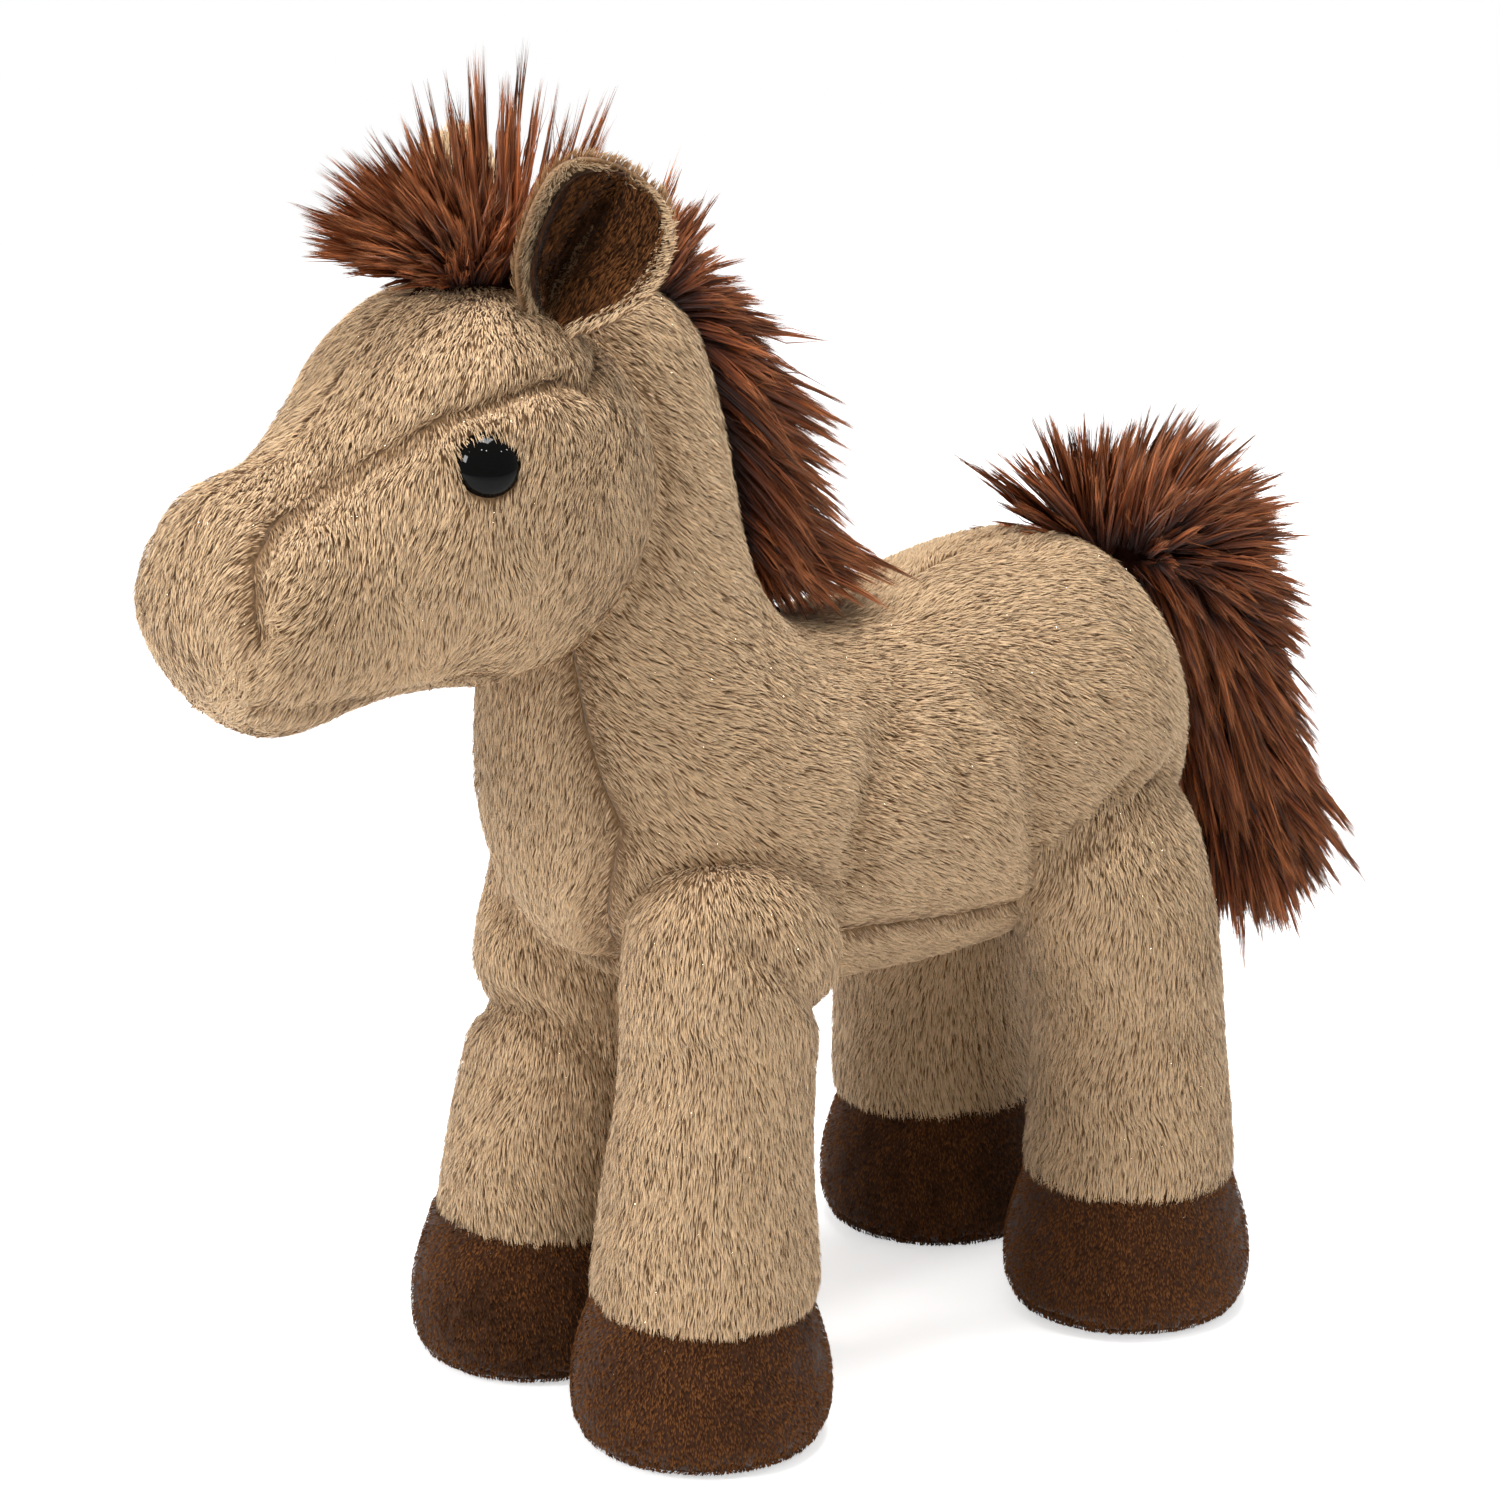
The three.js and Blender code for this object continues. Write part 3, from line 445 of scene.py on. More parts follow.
# Lines and outlines
def line_distance(points, line):
    """Distance from each point to a polyline, and the vector from the line's nearest point."""
    best = np.full(len(points), np.inf)
    away = np.zeros_like(points)
    line = np.asarray(line, float)
    for start, end in zip(line, line[1:]):
        run = end - start
        t = np.clip((points - start) @ run / max(run @ run, 1e-12), 0, 1)
        offset = points - start - t[:, None] * run
        distance = np.linalg.norm(offset, axis=1)
        nearer = distance < best
        best[nearer] = distance[nearer]
        away[nearer] = offset[nearer]
    return best, away


def inside_outline(points, outline):
    """Even-odd test of flat points in a closed outline."""
    inside = np.zeros(len(points), bool)
    x, y = points[:, 0], points[:, 1]
    for (x1, y1), (x2, y2) in zip(outline, outline[1:] + outline[:1]):
        crosses = (y1 > y) != (y2 > y)
        rise = y2 - y1 if y2 != y1 else 1e-12
        inside ^= crosses & (x < (x2 - x1) * (y - y1) / rise + x1)
    return inside


def on_surface(tree, pixels):
    """Points of the surface that show at pixels of the photograph."""
    hits = [tree.ray_cast(EYE_POINT, photo_ray(pixel))[0] for pixel in pixels]
    return [hit for hit in hits if hit is not None]


def both_sides(line):
    return [line, [Vector((-point[0], point[1], point[2])) for point in line]]


class Crease:
    """A seam or a fold: a line on the surface, how deep it is drawn in and how wide the valley is, and how
    far the pile parts over it, which also darkens the pile there as painted shade.
    """

    def __init__(self, line, depth, width, parting=1.0, axes=(0, 1, 2), front_only=False, fades=False):
        self.line = np.array([[point[axis] for axis in axes] for point in line], float)
        self.depth = depth
        self.width = width
        self.parting = parting
        self.axes = list(axes)
        self.front_only = front_only
        self.fades = fades

    def reach(self, points):
        """How strongly each point feels the crease, and the direction away from it."""
        distance, flat = line_distance(points[:, self.axes], self.line)
        strength = np.exp(-(distance / self.width) ** 2)
        if self.front_only:
            strength = strength * (points[:, 1] < CHEST_LIMIT)
        if self.fades:
            for end in (self.line[0], self.line[-1]):
                gap = np.linalg.norm(points[:, self.axes] - end, axis=1)
                strength = strength * (1 - np.exp(-(gap / (1.6 * self.width)) ** 2))
        away = np.zeros_like(points)
        away[:, self.axes] = flat
        return strength, away / np.maximum(distance, 1e-9)[:, None]


def press(piece, creases):
    """Draws the creases into the surface."""
    points, normals = points_of(piece.data), normals_of(piece.data)
    for crease in creases:
        strength, _ = crease.reach(points)
        points -= normals * (strength * crease.depth)[:, None]
    set_points(piece.data, points)
    return piece


# Body and neck. Each row is a section: y and height on the back, y and height on the underside, and
# its width. y is a share of the body's length. A height up to 1 is a share of the body's height above
# the belly, and what is over 1 is a share of the neck's height.
BODY_SECTION_SHARES = [
    (0.5, 0.58, 0.502, 0.53, 0.09), (0.491, 0.72, 0.498, 0.38, 0.36), (0.467, 0.84, 0.484, 0.26, 0.6),
    (0.421, 0.94, 0.452, 0.147, 0.77), (0.336, 1, 0.378, 0.052, 0.91), (0.21, 0.985, 0.224, 0.01, 0.98),
    (0.07, 0.92, 0.093, 0, 1), (-0.047, 0.895, -0.056, 0.01, 0.99), (-0.121, 0.93, -0.21, 0.034, 0.975),
    (-0.158, 1, -0.346, 0.103, 0.93), (-0.178, 1.1, -0.444, 0.224, 0.86),
    (-0.191, 1.215, -0.5, 0.388, 0.777), (-0.199, 1.33, -0.523, 0.578, 0.705),
    (-0.205, 1.466, -0.528, 0.776, 0.643), (-0.215, 1.61, -0.523, 0.948, 0.598),
    (-0.23, 1.739, -0.514, 1.18, 0.554), (-0.248, 1.852, -0.5, 1.443, 0.5),
    (-0.29, 1.943, -0.477, 1.682, 0.41), (-0.341, 1.994, -0.453, 1.864, 0.268),
    (-0.379, 2, -0.425, 1.943, 0.107),
]


def body_height(share):
    return BELLY_HEIGHT + min(share, 1) * BODY_HEIGHT + max(share - 1, 0) * NECK_HEIGHT


def body_point(y_share, height_share):
    return Vector((0, BODY_MIDDLE + y_share * BODY_LENGTH, body_height(height_share)))


def body_form():
    rings = []
    rows = []
    for back_y, back_height, under_y, under_height, width in BODY_SECTION_SHARES:
        back, under = body_point(back_y, back_height), body_point(under_y, under_height)
        rows.append((back.y, back.z, under.y, under.z, width * BODY_WIDTH / 2))
    for back_y, back_z, under_y, under_z, half_width in smooth_rows(rows, 3):
        centre = (0, (back_y + under_y) / 2, (back_z + under_z) / 2)
        deep = (0, (back_y - under_y) / 2, (back_z - under_z) / 2)
        rings.append((centre, (max(half_width, MM), 0, 0), deep))
    return loft("body_form", rings)


# Head. Rows are the share of the muzzle's reach in front of the pivot, the top and the bottom as
# shares of the head's radius from it, and the width as a share of the head's.
HEAD_SECTION_SHARES = [
    (0, 1, 1, 1), (0.13, 0.985, 0.965, 0.97), (0.31, 0.8, 0.96, 0.88), (0.464, 0.525, 0.98, 0.78),
    (0.607, 0.32, 1.03, 0.71), (0.726, 0.25, 1.05, 0.69), (0.833, 0.2, 0.985, 0.66),
    (0.917, 0.09, 0.86, 0.6), (0.985, -0.1, 0.68, 0.44), (1.02, -0.27, 0.55, 0.2),
    (1.03, -0.34, 0.49, 0.08),
]
HEAD_BACK_ANGLES = (80, 66, 52, 38, 25, 12)


def head_form():
    rings = []
    for angle in map(math.radians, HEAD_BACK_ANGLES):
        size = math.cos(angle)
        centre = HEAD_PIVOT + Vector((0, math.sin(angle) * HEAD_RADIUS, 0))
        rings.append((centre, (size * HEAD_WIDTH / 2, 0, 0), (0, 0, size * HEAD_RADIUS)))
    for forward, top, bottom, width in smooth_rows(HEAD_SECTION_SHARES, 3):
        centre = HEAD_PIVOT + Vector((0, -forward * MUZZLE_REACH, (top - bottom) / 2 * HEAD_RADIUS))
        rings.append((centre, (width * HEAD_WIDTH / 2, 0, 0), (0, 0, (top + bottom) / 2 * HEAD_RADIUS)))
    return loft("head_form", rings)


# Limbs. Rows are height, shift outwards, shift backwards, and half width and half depth, with the
# shifts from the middle of the hoof.
HOOF_ROWS = [
    (0, 0, 0, 28.5, 28.5), (1.5, 0, 0, 32, 32), (5, 0, 0, 34.2, 34.2), (12, 0, 0, 35.3, 35.3),
    (22, 0, 0, 34.8, 34.8), (32, 0, 0, 32.2, 32.2), (39, 0, 0, 29.8, 29.8), (44, 0, 0, 28.4, 28.4),
]
FRONT_LEFT_ROWS = [
    (35, 0, 0, 26, 26), (37, 0.4, 0.4, 29.5, 29.5), (42, 0.8, 0.8, 31.6, 31.6), (55, 1, 1, 30.6, 30.8),
    (75, 1.4, 1.6, 28.6, 28.8), (95, 2, 3.4, 26.9, 27.2), (110, 2, 4.8, 26.6, 27.4),
    (125, 2.2, 7, 27.6, 29.8), (140, 1.8, 8.5, 27, 30), (152, -0.5, 8, 24, 26), (162, -3, 7, 15, 17),
]
FRONT_RIGHT_ROWS = [
    (35, 0, 0, 26, 26), (37, -0.5, 0.5, 28.5, 28.5), (42, -1, 1.2, 30, 30), (55, -1.8, 2.2, 29.4, 29.4),
    (75, -2.8, 3.8, 27.7, 27.9), (90, -4.2, 6, 26.6, 26.8), (101, -5, 7.5, 25.4, 26),
    (112, -6, 10, 25.8, 27), (125, -6, 10.5, 26.5, 28.5), (138, -6.5, 11, 24.5, 26.5),
    (150, -6, 10, 20, 23), (160, -6, 9, 13, 15),
]
REAR_LEFT_ROWS = [
    (35, 0, 0, 26, 26), (37, 0, 0, 29, 29), (42, 0, 0, 30.8, 30.8), (55, 0, 0, 30, 30),
    (75, 0, -1, 28.8, 28.8), (95, 0, -3, 28.4, 28.8), (115, -0.5, -7, 28, 31), (135, -4, -12, 26, 35.5),
    (150, -9, -14, 23, 34.5), (165, -14, -17, 16, 25),
]
REAR_RIGHT_ROWS = [
    (35, 0, 0, 26, 26), (37, 1, 0, 29.5, 29.5), (42, 1.5, 0, 31.6, 31.6), (55, 2.5, 0, 31, 31),
    (75, 3, -1, 29.8, 29.8), (95, 3, -3, 29.4, 29.8), (115, 2.5, -7, 29, 31.6), (135, -1, -12, 27, 35),
    (150, -6, -15, 24, 34), (165, -12, -18, 16, 24),
]
LEG_ROWS = {("front", "left"): FRONT_LEFT_ROWS, ("front", "right"): FRONT_RIGHT_ROWS,
            ("rear", "left"): REAR_LEFT_ROWS, ("rear", "right"): REAR_RIGHT_ROWS}


def hoof_middle(end, side):
    low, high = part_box(f"{end}_{side}_sole")
    return (low + high) / 2


def limb_rings(end, side, rows):
    middle = hoof_middle(end, side)
    for height, out, back, half_width, half_depth in smooth_rows(rows, 3) * MM:
        centre = (middle.x + SIDES[side] * out, middle.y + back, height)
        yield centre, (half_width, 0, 0), (0, half_depth, 0)


def leg_form(end, side):
    return loft(f"{end}_{side}_leg_form", limb_rings(end, side, LEG_ROWS[end, side]))


def hoof_form(end, side):
    return loft(f"{end}_{side}_hoof_form", limb_rings(end, side, HOOF_ROWS))


# Seams: how deep they are drawn in, how wide, and how far the pile parts over them, which also sets the
# painted shade in them
BELLY_SEAM = (2.2 * MM, 3.5 * MM, 1)
BACK_SEAM = (1.5 * MM, 4 * MM, 0.4)
CHEST_SEAM = (2.4 * MM, 4 * MM, 1)
FACE_SEAM = (2.8 * MM, 3.2 * MM, 1)
CHIN_SEAM = (1 * MM, 3 * MM, 0.6)
SOLE_SEAM = (2 * MM, 1.7 * MM, 1.2)

# Seams of the head, seen from the side: shares of the muzzle's reach forwards and the radius upwards
HEAD_TOP_SEAM_SHARES = [
    (-0.45, 0.78), (-0.19, 0.53), (-0.1, 0.6), (0.06, 0.59), (0.27, 0.5), (0.44, 0.32), (0.63, 0.15),
    (0.785, 0.04), (0.87, -0.09), (0.9, -0.29), (0.89, -0.5), (0.84, -0.72), (0.79, -1.2),
]
HEAD_TOP_FAR_SHARES = [(1.2, -1.2), (1.2, 1.2), (-0.45, 1.2)]
CHIN_SEAM_SHARES = [(0.84, -0.76), (0.5, -0.82), (0.14, -0.83), (-0.1, -0.86), (-0.3, -0.9)]
CHIN_FAR_SHARES = [(-0.3, -1.2), (0.84, -1.2)]
BELLY_SEAM_SHARES = [(-0.7, 0.18), (-0.42, 0.19), (-0.16, 0.25), (0.21, 0.19), (0.38, 0.17), (0.6, 0.4)]
CHEST_SEAM_SHARES = [
    (0.1, 1.4), (0.3, 1.05), (0.375, 0.862), (0.43, 0.733), (0.52, 0.569), (0.44, 0.43), (0.25, 0.2),
    (0.18, -0.1),
]


def head_line(shares):
    return [HEAD_PIVOT + Vector((0, -forward * MUZZLE_REACH, rise * HEAD_RADIUS))
            for forward, rise in shares]


def belly_line():
    return [body_point(y, height) for y, height in BELLY_SEAM_SHARES]


def chest_line():
    return [Vector((width * BODY_WIDTH / 2, 0, body_height(height)))
            for width, height in CHEST_SEAM_SHARES]


def flat(line, axes):
    return [tuple(point[axis] for axis in axes) for point in line]


SIDE_VIEW = (1, 2)
FRONT_VIEW = (0, 2)

# Folds and darts that show in the photograph, in its pixels
TORSO_FOLDS = [
    (5.2, 6.5, 0.5, [(880, 690), (885, 750), (873, 809), (859, 864), (853, 928)]),
    (2.8, 5.5, 0.3, [(905, 670), (897, 717), (903, 790), (912, 840)]),
    (5, 6.5, 0.45, [(958, 640), (993, 690), (1032, 735), (1040, 790), (1045, 850), (1062, 885)]),
    (2.6, 5, 0.3, [(940, 720), (962, 780), (950, 850)]),
    (2.4, 4.5, 0.4, [(1060, 790), (1078, 830), (1082, 860)]),
    (2.8, 3.6, 1, [(1156, 752), (1136, 776), (1113, 801), (1090, 827)]),
    (3.6, 5, 0.8, [(1186, 745), (1150, 800), (1105, 850), (1066, 892), (1040, 918), (1022, 935)]),
]
HEAD_FOLDS = [
    (2, 5, 0.4, [(512, 492), (530, 520), (545, 545)]),
    (1.2, 12, 0, [(400, 560), (455, 545), (500, 560)]),
    (2.2, 3.2, 0.9, [(590, 372), (630, 388), (668, 415), (684, 445)]),
    (-1.7, 5, 0, [(458, 440), (474, 430), (496, 426), (520, 433), (533, 446)]),
    (-1.2, 4.5, 0, [(468, 490), (490, 499), (515, 492)]),
    (2, 3, 1.2, [(243, 600), (250, 572), (262, 548), (285, 525)]),
    (-1.2, 9, 0, [(215, 560), (225, 600), (222, 640)]),
]

# Folds of the legs. Each is its depth and width in millimetres, how far the pile parts over it and so how
# much painted shade it gets, and its line, as the angle round the leg from straight ahead outwards and the
# height in millimetres
LEG_FOLDS = {
    ("front", "left"): [
        (4.2, 5, 0.7, [(40, 152), (60, 147), (82, 138), (105, 130), (141, 118), (175, 112)]),
        (-3, 9, 0, [(118, 141), (145, 134), (170, 131)]),
        (2.4, 2.6, 1.2, [(110, 147), (114, 143)]),
        (1.6, 5, 0.3, [(0, 112), (40, 118), (80, 112)]),
    ],
    ("front", "right"): [
        (4.6, 5, 0.6, [(75, 98), (38, 101), (-7, 106), (-27, 105), (-54, 101), (-79, 97), (-100, 94)]),
        (3.2, 4, 0.6, [(30, 138), (8, 136), (-17, 127), (-51, 119), (-76, 117)]),
        (-2.4, 7, 0, [(60, 114), (38, 115), (0, 117), (-40, 112)]),
        (1.6, 4, 0.3, [(10, 84), (-40, 88), (-80, 84)]),
    ],
    ("rear", "left"): [
        (1.8, 4, 0.5, [(20, 146), (50, 143), (85, 146)]),
        (1.4, 6, 0.2, [(30, 96), (90, 88), (140, 86)]),
    ],
}


def body_creases(tree):
    creases = [
        Crease(belly_line(), *BELLY_SEAM, SIDE_VIEW),
        Crease(body_ridge(), *BACK_SEAM),
    ]
    for line in both_sides(chest_line()):
        creases.append(Crease(line, *CHEST_SEAM, FRONT_VIEW, front_only=True))
    return creases + folded(tree, TORSO_FOLDS)


def folded(tree, folds):
    """Creases for folds given as depth, width, parting and pixels, on both sides."""
    return [Crease(line, depth * MM, width * MM, parting, fades=True)
            for depth, width, parting, pixels in folds for line in both_sides(on_surface(tree, pixels))]


def body_ridge():
    """The seam along the back, behind the mane."""
    rows = [row for row in BODY_SECTION_SHARES if 0 < row[0] < 0.45]
    return [body_point(row[0], row[1]) for row in rows]


def head_creases(tree):
    creases = [
        Crease(head_line(HEAD_TOP_SEAM_SHARES[:-2]), *FACE_SEAM, SIDE_VIEW, fades=True),
        Crease(head_line(CHIN_SEAM_SHARES), *CHIN_SEAM, SIDE_VIEW),
    ]
    return creases + folded(tree, HEAD_FOLDS)


def leg_creases(end, side, tree):
    creases = []
    for depth, width, parting, turns in LEG_FOLDS.get((end, side), []):
        line = []
        for angle, height in turns:
            axis = leg_axis(end, side, height)
            turn = math.radians(angle)
            outwards = Vector((SIDES[side] * math.sin(turn), -math.cos(turn), 0))
            hit = tree.ray_cast(axis, outwards)[0]
            if hit is not None:
                line.append(hit)
        creases.append(Crease(line, depth * MM, width * MM, parting, fades=True))
    return creases


def leg_axis(end, side, height):
    """The middle of a leg at a height in millimetres."""
    rows = np.array(LEG_ROWS[end, side], float)
    out, back = (np.interp(height, rows[:, 0], rows[:, k]) * MM for k in (1, 2))
    middle = hoof_middle(end, side)
    return Vector((middle.x + SIDES[side] * out, middle.y + back, height * MM))


# Materials
def colour(red, green, blue):
    """Linear colour of an eight-bit screen colour."""
    return tuple(((c / 255 + 0.055) / 1.055) ** 2.4 for c in (red, green, blue)) + (1,)


def material(name, base, roughness, specular=0.3, sheen=0.0, sheen_tint=None, metallic=0.0):
    made = bpy.data.materials.new(name)
    made.use_nodes = True
    shader = made.node_tree.nodes["Principled BSDF"]
    shader.inputs["Base Color"].default_value = base
    shader.inputs["Roughness"].default_value = roughness
    shader.inputs["Specular IOR Level"].default_value = specular
    shader.inputs["Metallic"].default_value = metallic
    shader.inputs["Sheen Weight"].default_value = sheen
    if sheen_tint:
        shader.inputs["Sheen Tint"].default_value = sheen_tint
    return made


def ramp_node(tree, stops):
    node = tree.nodes.new("ShaderNodeValToRGB")
    while len(node.color_ramp.elements) < len(stops):
        node.color_ramp.elements.new(0.5)
    for element, (position, value) in zip(node.color_ramp.elements, stops):
        element.position = position
        element.color = value
    return node


def strand_material(name, along, across, roughness, specular, sheen=0.0, sheen_tint=None):
    """Strands take one colour from root to tip and another from strand to strand, off their own map."""
    made = material(name, (0.5, 0.5, 0.5, 1), roughness, specular, sheen, sheen_tint)
    tree = made.node_tree
    place = tree.nodes.new("ShaderNodeUVMap")
    place.uv_map = "OFBake"
    split = tree.nodes.new("ShaderNodeSeparateXYZ")
    tree.links.new(place.outputs["UV"], split.inputs["Vector"])
    lengthwise, sideways = ramp_node(tree, along), ramp_node(tree, across)
    tree.links.new(split.outputs["Y"], lengthwise.inputs["Fac"])
    tree.links.new(split.outputs["X"], sideways.inputs["Fac"])
    mix = tree.nodes.new("ShaderNodeMix")
    mix.data_type = "RGBA"
    mix.blend_type = "MULTIPLY"
    mix.inputs["Factor"].default_value = 1
    tree.links.new(lengthwise.outputs["Color"], mix.inputs["A"])
    tree.links.new(sideways.outputs["Color"], mix.inputs["B"])
    tree.links.new(mix.outputs["Result"], tree.nodes["Principled BSDF"].inputs["Base Color"])
    return made


def patterned_material(name, dark, light, scale, roughness, bump, sheen=0.3):
    """Cloth or suede under the pile: fine mottling on the piece's own coordinates."""
    made = material(name, light, roughness, 0.05, sheen)
    tree = made.node_tree
    place = tree.nodes.new("ShaderNodeTexCoord")
    noise = tree.nodes.new("ShaderNodeTexNoise")
    noise.inputs["Scale"].default_value = scale
    noise.inputs["Detail"].default_value = 4
    tree.links.new(place.outputs["Object"], noise.inputs["Vector"])
    ramp = ramp_node(tree, [(0.35, dark), (0.65, light)])
    tree.links.new(noise.outputs["Fac"], ramp.inputs["Fac"])
    shader = tree.nodes["Principled BSDF"]
    tree.links.new(ramp.outputs["Color"], shader.inputs["Base Color"])
    height = tree.nodes.new("ShaderNodeBump")
    height.inputs["Strength"].default_value = bump
    height.inputs["Distance"].default_value = WEAVE_DEPTH
    tree.links.new(noise.outputs["Fac"], height.inputs["Height"])
    tree.links.new(height.outputs["Normal"], shader.inputs["Normal"])
    return made


def grey(value):
    return (value, value, value, 1)


# Colours of the strands: along them from root to tip, darker towards the root as painted shade deep in the
# pile, nap and hair, and across, from the darkest to the lightest
TAN_ALONG = [(0, colour(164, 126, 88)), (0.3, colour(208, 170, 128)), (1, colour(250, 218, 176))]
TAN_ACROSS = [(0, (0.48, 0.43, 0.38, 1)), (0.25, (0.73, 0.68, 0.63, 1)), (0.5, grey(0.88)),
              (0.75, grey(0.98)), (1, (1, 0.98, 0.92, 1))]
SUEDE_ALONG = [(0, colour(58, 32, 14)), (0.5, colour(106, 64, 32)), (1, colour(150, 98, 54))]
SUEDE_ACROSS = [(0, grey(0.16)), (0.3, grey(0.5)), (0.6, grey(0.84)), (1, grey(1))]
AUBURN_ALONG = [(0, colour(38, 15, 8)), (0.25, colour(92, 44, 22)), (0.6, colour(142, 76, 42)),
                (1, colour(190, 118, 74))]
AUBURN_ACROSS = [(0, grey(0.14)), (0.3, grey(0.42)), (0.6, grey(0.8)), (0.8, grey(1)),
                 (1, (1.5, 1.5, 1.4, 1))]
MATERIALS = {
    "tan_cloth": patterned_material("tan_cloth", colour(122, 92, 62), colour(152, 120, 86),
                                    900, 0.95, 0.6),
    "brown_cloth": patterned_material("brown_cloth", colour(54, 30, 15), colour(80, 48, 25),
                                      900, 0.95, 0.6),
    # Dark core of the hair: painted shade deep in the hair mass
    "hair_painted_shade_cloth": patterned_material("hair_painted_shade_cloth", colour(28, 12, 6), colour(50, 24, 12),
                                     500, 1, 0.6, 0),
    "fibre": patterned_material("fibre", colour(214, 210, 202), colour(240, 238, 232),
                                220, 1, 0.8),
    "tan_pile": strand_material("tan_pile", TAN_ALONG, TAN_ACROSS, 0.55, 0.3, 0.25, colour(255, 236, 206)),
    "suede_nap": strand_material("suede_nap", SUEDE_ALONG, SUEDE_ACROSS, 0.75, 0.1, 0.15,
                                 colour(200, 130, 80)),
    "auburn_hair": strand_material("auburn_hair", AUBURN_ALONG, AUBURN_ACROSS, 0.38, 0.25),
    "eye_gloss": material("eye_gloss", colour(5, 4, 3), 0.04, 0.16),
    "glitter": material("glitter", colour(255, 246, 224), 0.25, 0.5, metallic=1.0),
    "washer_nylon": material("washer_nylon", colour(217, 214, 207), 0.5, 0.4),
}


# Strands
def strand_mesh(name, spines, sides, normals, tones, spread=0.004):
    """Flat strands. Each runs from a point through pairs of vertices to a point. spines and normals are
    strands x steps x 3, sides holds the half-width vectors, and tones one value a strand."""
    count, steps, _ = spines.shape
    pairs = steps - 2
    per = 2 * pairs + 2
    vertices = np.empty((count, per, 3))
    vertices[:, 0] = spines[:, 0]
    vertices[:, 1:-1:2] = spines[:, 1:-1] - sides
    vertices[:, 2:-1:2] = spines[:, 1:-1] + sides
    vertices[:, -1] = spines[:, -1]
    shading = np.empty((count, per, 3))
    shading[:, 0] = normals[:, 0]
    shading[:, 1:-1:2] = normals[:, 1:-1]
    shading[:, 2:-1:2] = normals[:, 1:-1]
    shading[:, -1] = normals[:, -1]
    share = np.linspace(0, 1, steps)
    uv = np.empty((count, per, 2))
    uv[:, :, 0] = tones[:, None] * (1 - 4 * spread) + 2 * spread
    uv[:, 1:-1:2, 0] -= spread
    uv[:, 2:-1:2, 0] += spread
    uv[:, 0, 1] = share[0]
    uv[:, 1:-1:2, 1] = share[1:-1]
    uv[:, 2:-1:2, 1] = share[1:-1]
    uv[:, -1, 1] = share[-1]
    corners = [(0, 1, 2)]
    corners += [(2 * i + 1, 2 * i + 3, 2 * i + 4, 2 * i + 2) for i in range(pairs - 1)]
    corners.append((per - 3, per - 1, per - 2))
    flat_corners = np.array([c for face in corners for c in face])
    lengths = np.array([len(face) for face in corners])
    loops = (np.arange(count)[:, None] * per + flat_corners).ravel()
    totals = np.tile(lengths, count)
    starts = np.concatenate(([0], np.cumsum(totals)[:-1]))
    mesh = bpy.data.meshes.new(name)
    mesh.vertices.add(count * per)
    mesh.vertices.foreach_set("co", vertices.astype(np.float32).ravel())
    mesh.loops.add(len(loops))
    mesh.loops.foreach_set("vertex_index", loops.astype(np.int32))
    mesh.polygons.add(len(totals))
    mesh.polygons.foreach_set("loop_start", starts.astype(np.int32))
    mesh.polygons.foreach_set("use_smooth", np.ones(len(totals), bool))
    layer = mesh.uv_layers.new(name="OFBake")
    layer.data.foreach_set("uv", uv.reshape(-1, 2)[loops].astype(np.float32).ravel())
    mesh.update(calc_edges=True)
    mesh.validate(clean_customdata=False)
    mesh.normals_split_custom_set_from_vertices(unit(shading.reshape(-1, 3)).tolist())
    return mesh


def waves(points, length, rng, count=7):
    """Smooth random field of three values a point, with features about as long as given."""
    field = np.zeros((len(points), 3))
    for _ in range(count):
        direction = unit(rng.normal(size=3)) * 2 * math.pi / (length * rng.uniform(*WAVE_LENGTH_RANGE))
        phase = rng.uniform(0, 2 * math.pi, 3)
        field += np.sin((points @ direction)[:, None] + phase) * rng.normal(size=3)
    return field / math.sqrt(count)


def scatter(mesh, chosen, density, rng):
    """Random places on the chosen faces of a mesh, so many a square metre, with their normals."""
    mesh.calc_loop_triangles()
    corners = np.empty(len(mesh.loop_triangles) * 3, np.int32)
    mesh.loop_triangles.foreach_get("vertices", corners)
    faces = np.empty(len(mesh.loop_triangles), np.int32)
    mesh.loop_triangles.foreach_get("polygon_index", faces)
    corners = corners.reshape(-1, 3)[np.asarray(chosen)[faces]]
    points, normals = points_of(mesh), normals_of(mesh)
    a, b, c = (points[corners[:, k]] for k in range(3))
    areas = np.linalg.norm(np.cross(b - a, c - a), axis=1) / 2
    count = int(areas.sum() * density)
    picked = rng.choice(len(areas), count, p=areas / areas.sum())
    r1, r2 = np.sqrt(rng.random(count))[:, None], rng.random(count)[:, None]
    weights = (1 - r1, r1 * (1 - r2), r1 * r2)
    places = sum(w * points[corners[picked, k]] for k, w in enumerate(weights))
    faces = unit(sum(w * normals[corners[picked, k]] for k, w in enumerate(weights)))
    return places, faces


def face_middles(mesh):
    middles = np.empty(len(mesh.polygons) * 3, np.float32)
    mesh.polygons.foreach_get("center", middles)
    return middles.reshape(-1, 3).astype(float)


def add_strands(mesh, look, body, sparkle=None):
    """Makes a piece of a mesh of strands. sparkle says which strands are flakes of glitter."""
    mesh.materials.append(MATERIALS[look])
    if sparkle is not None:
        mesh.materials.append(MATERIALS["glitter"])
        mesh.polygons.foreach_set("material_index", np.repeat(sparkle, 2).astype(np.int32))
    piece = new_piece(mesh.name, mesh)
    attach(piece, body)


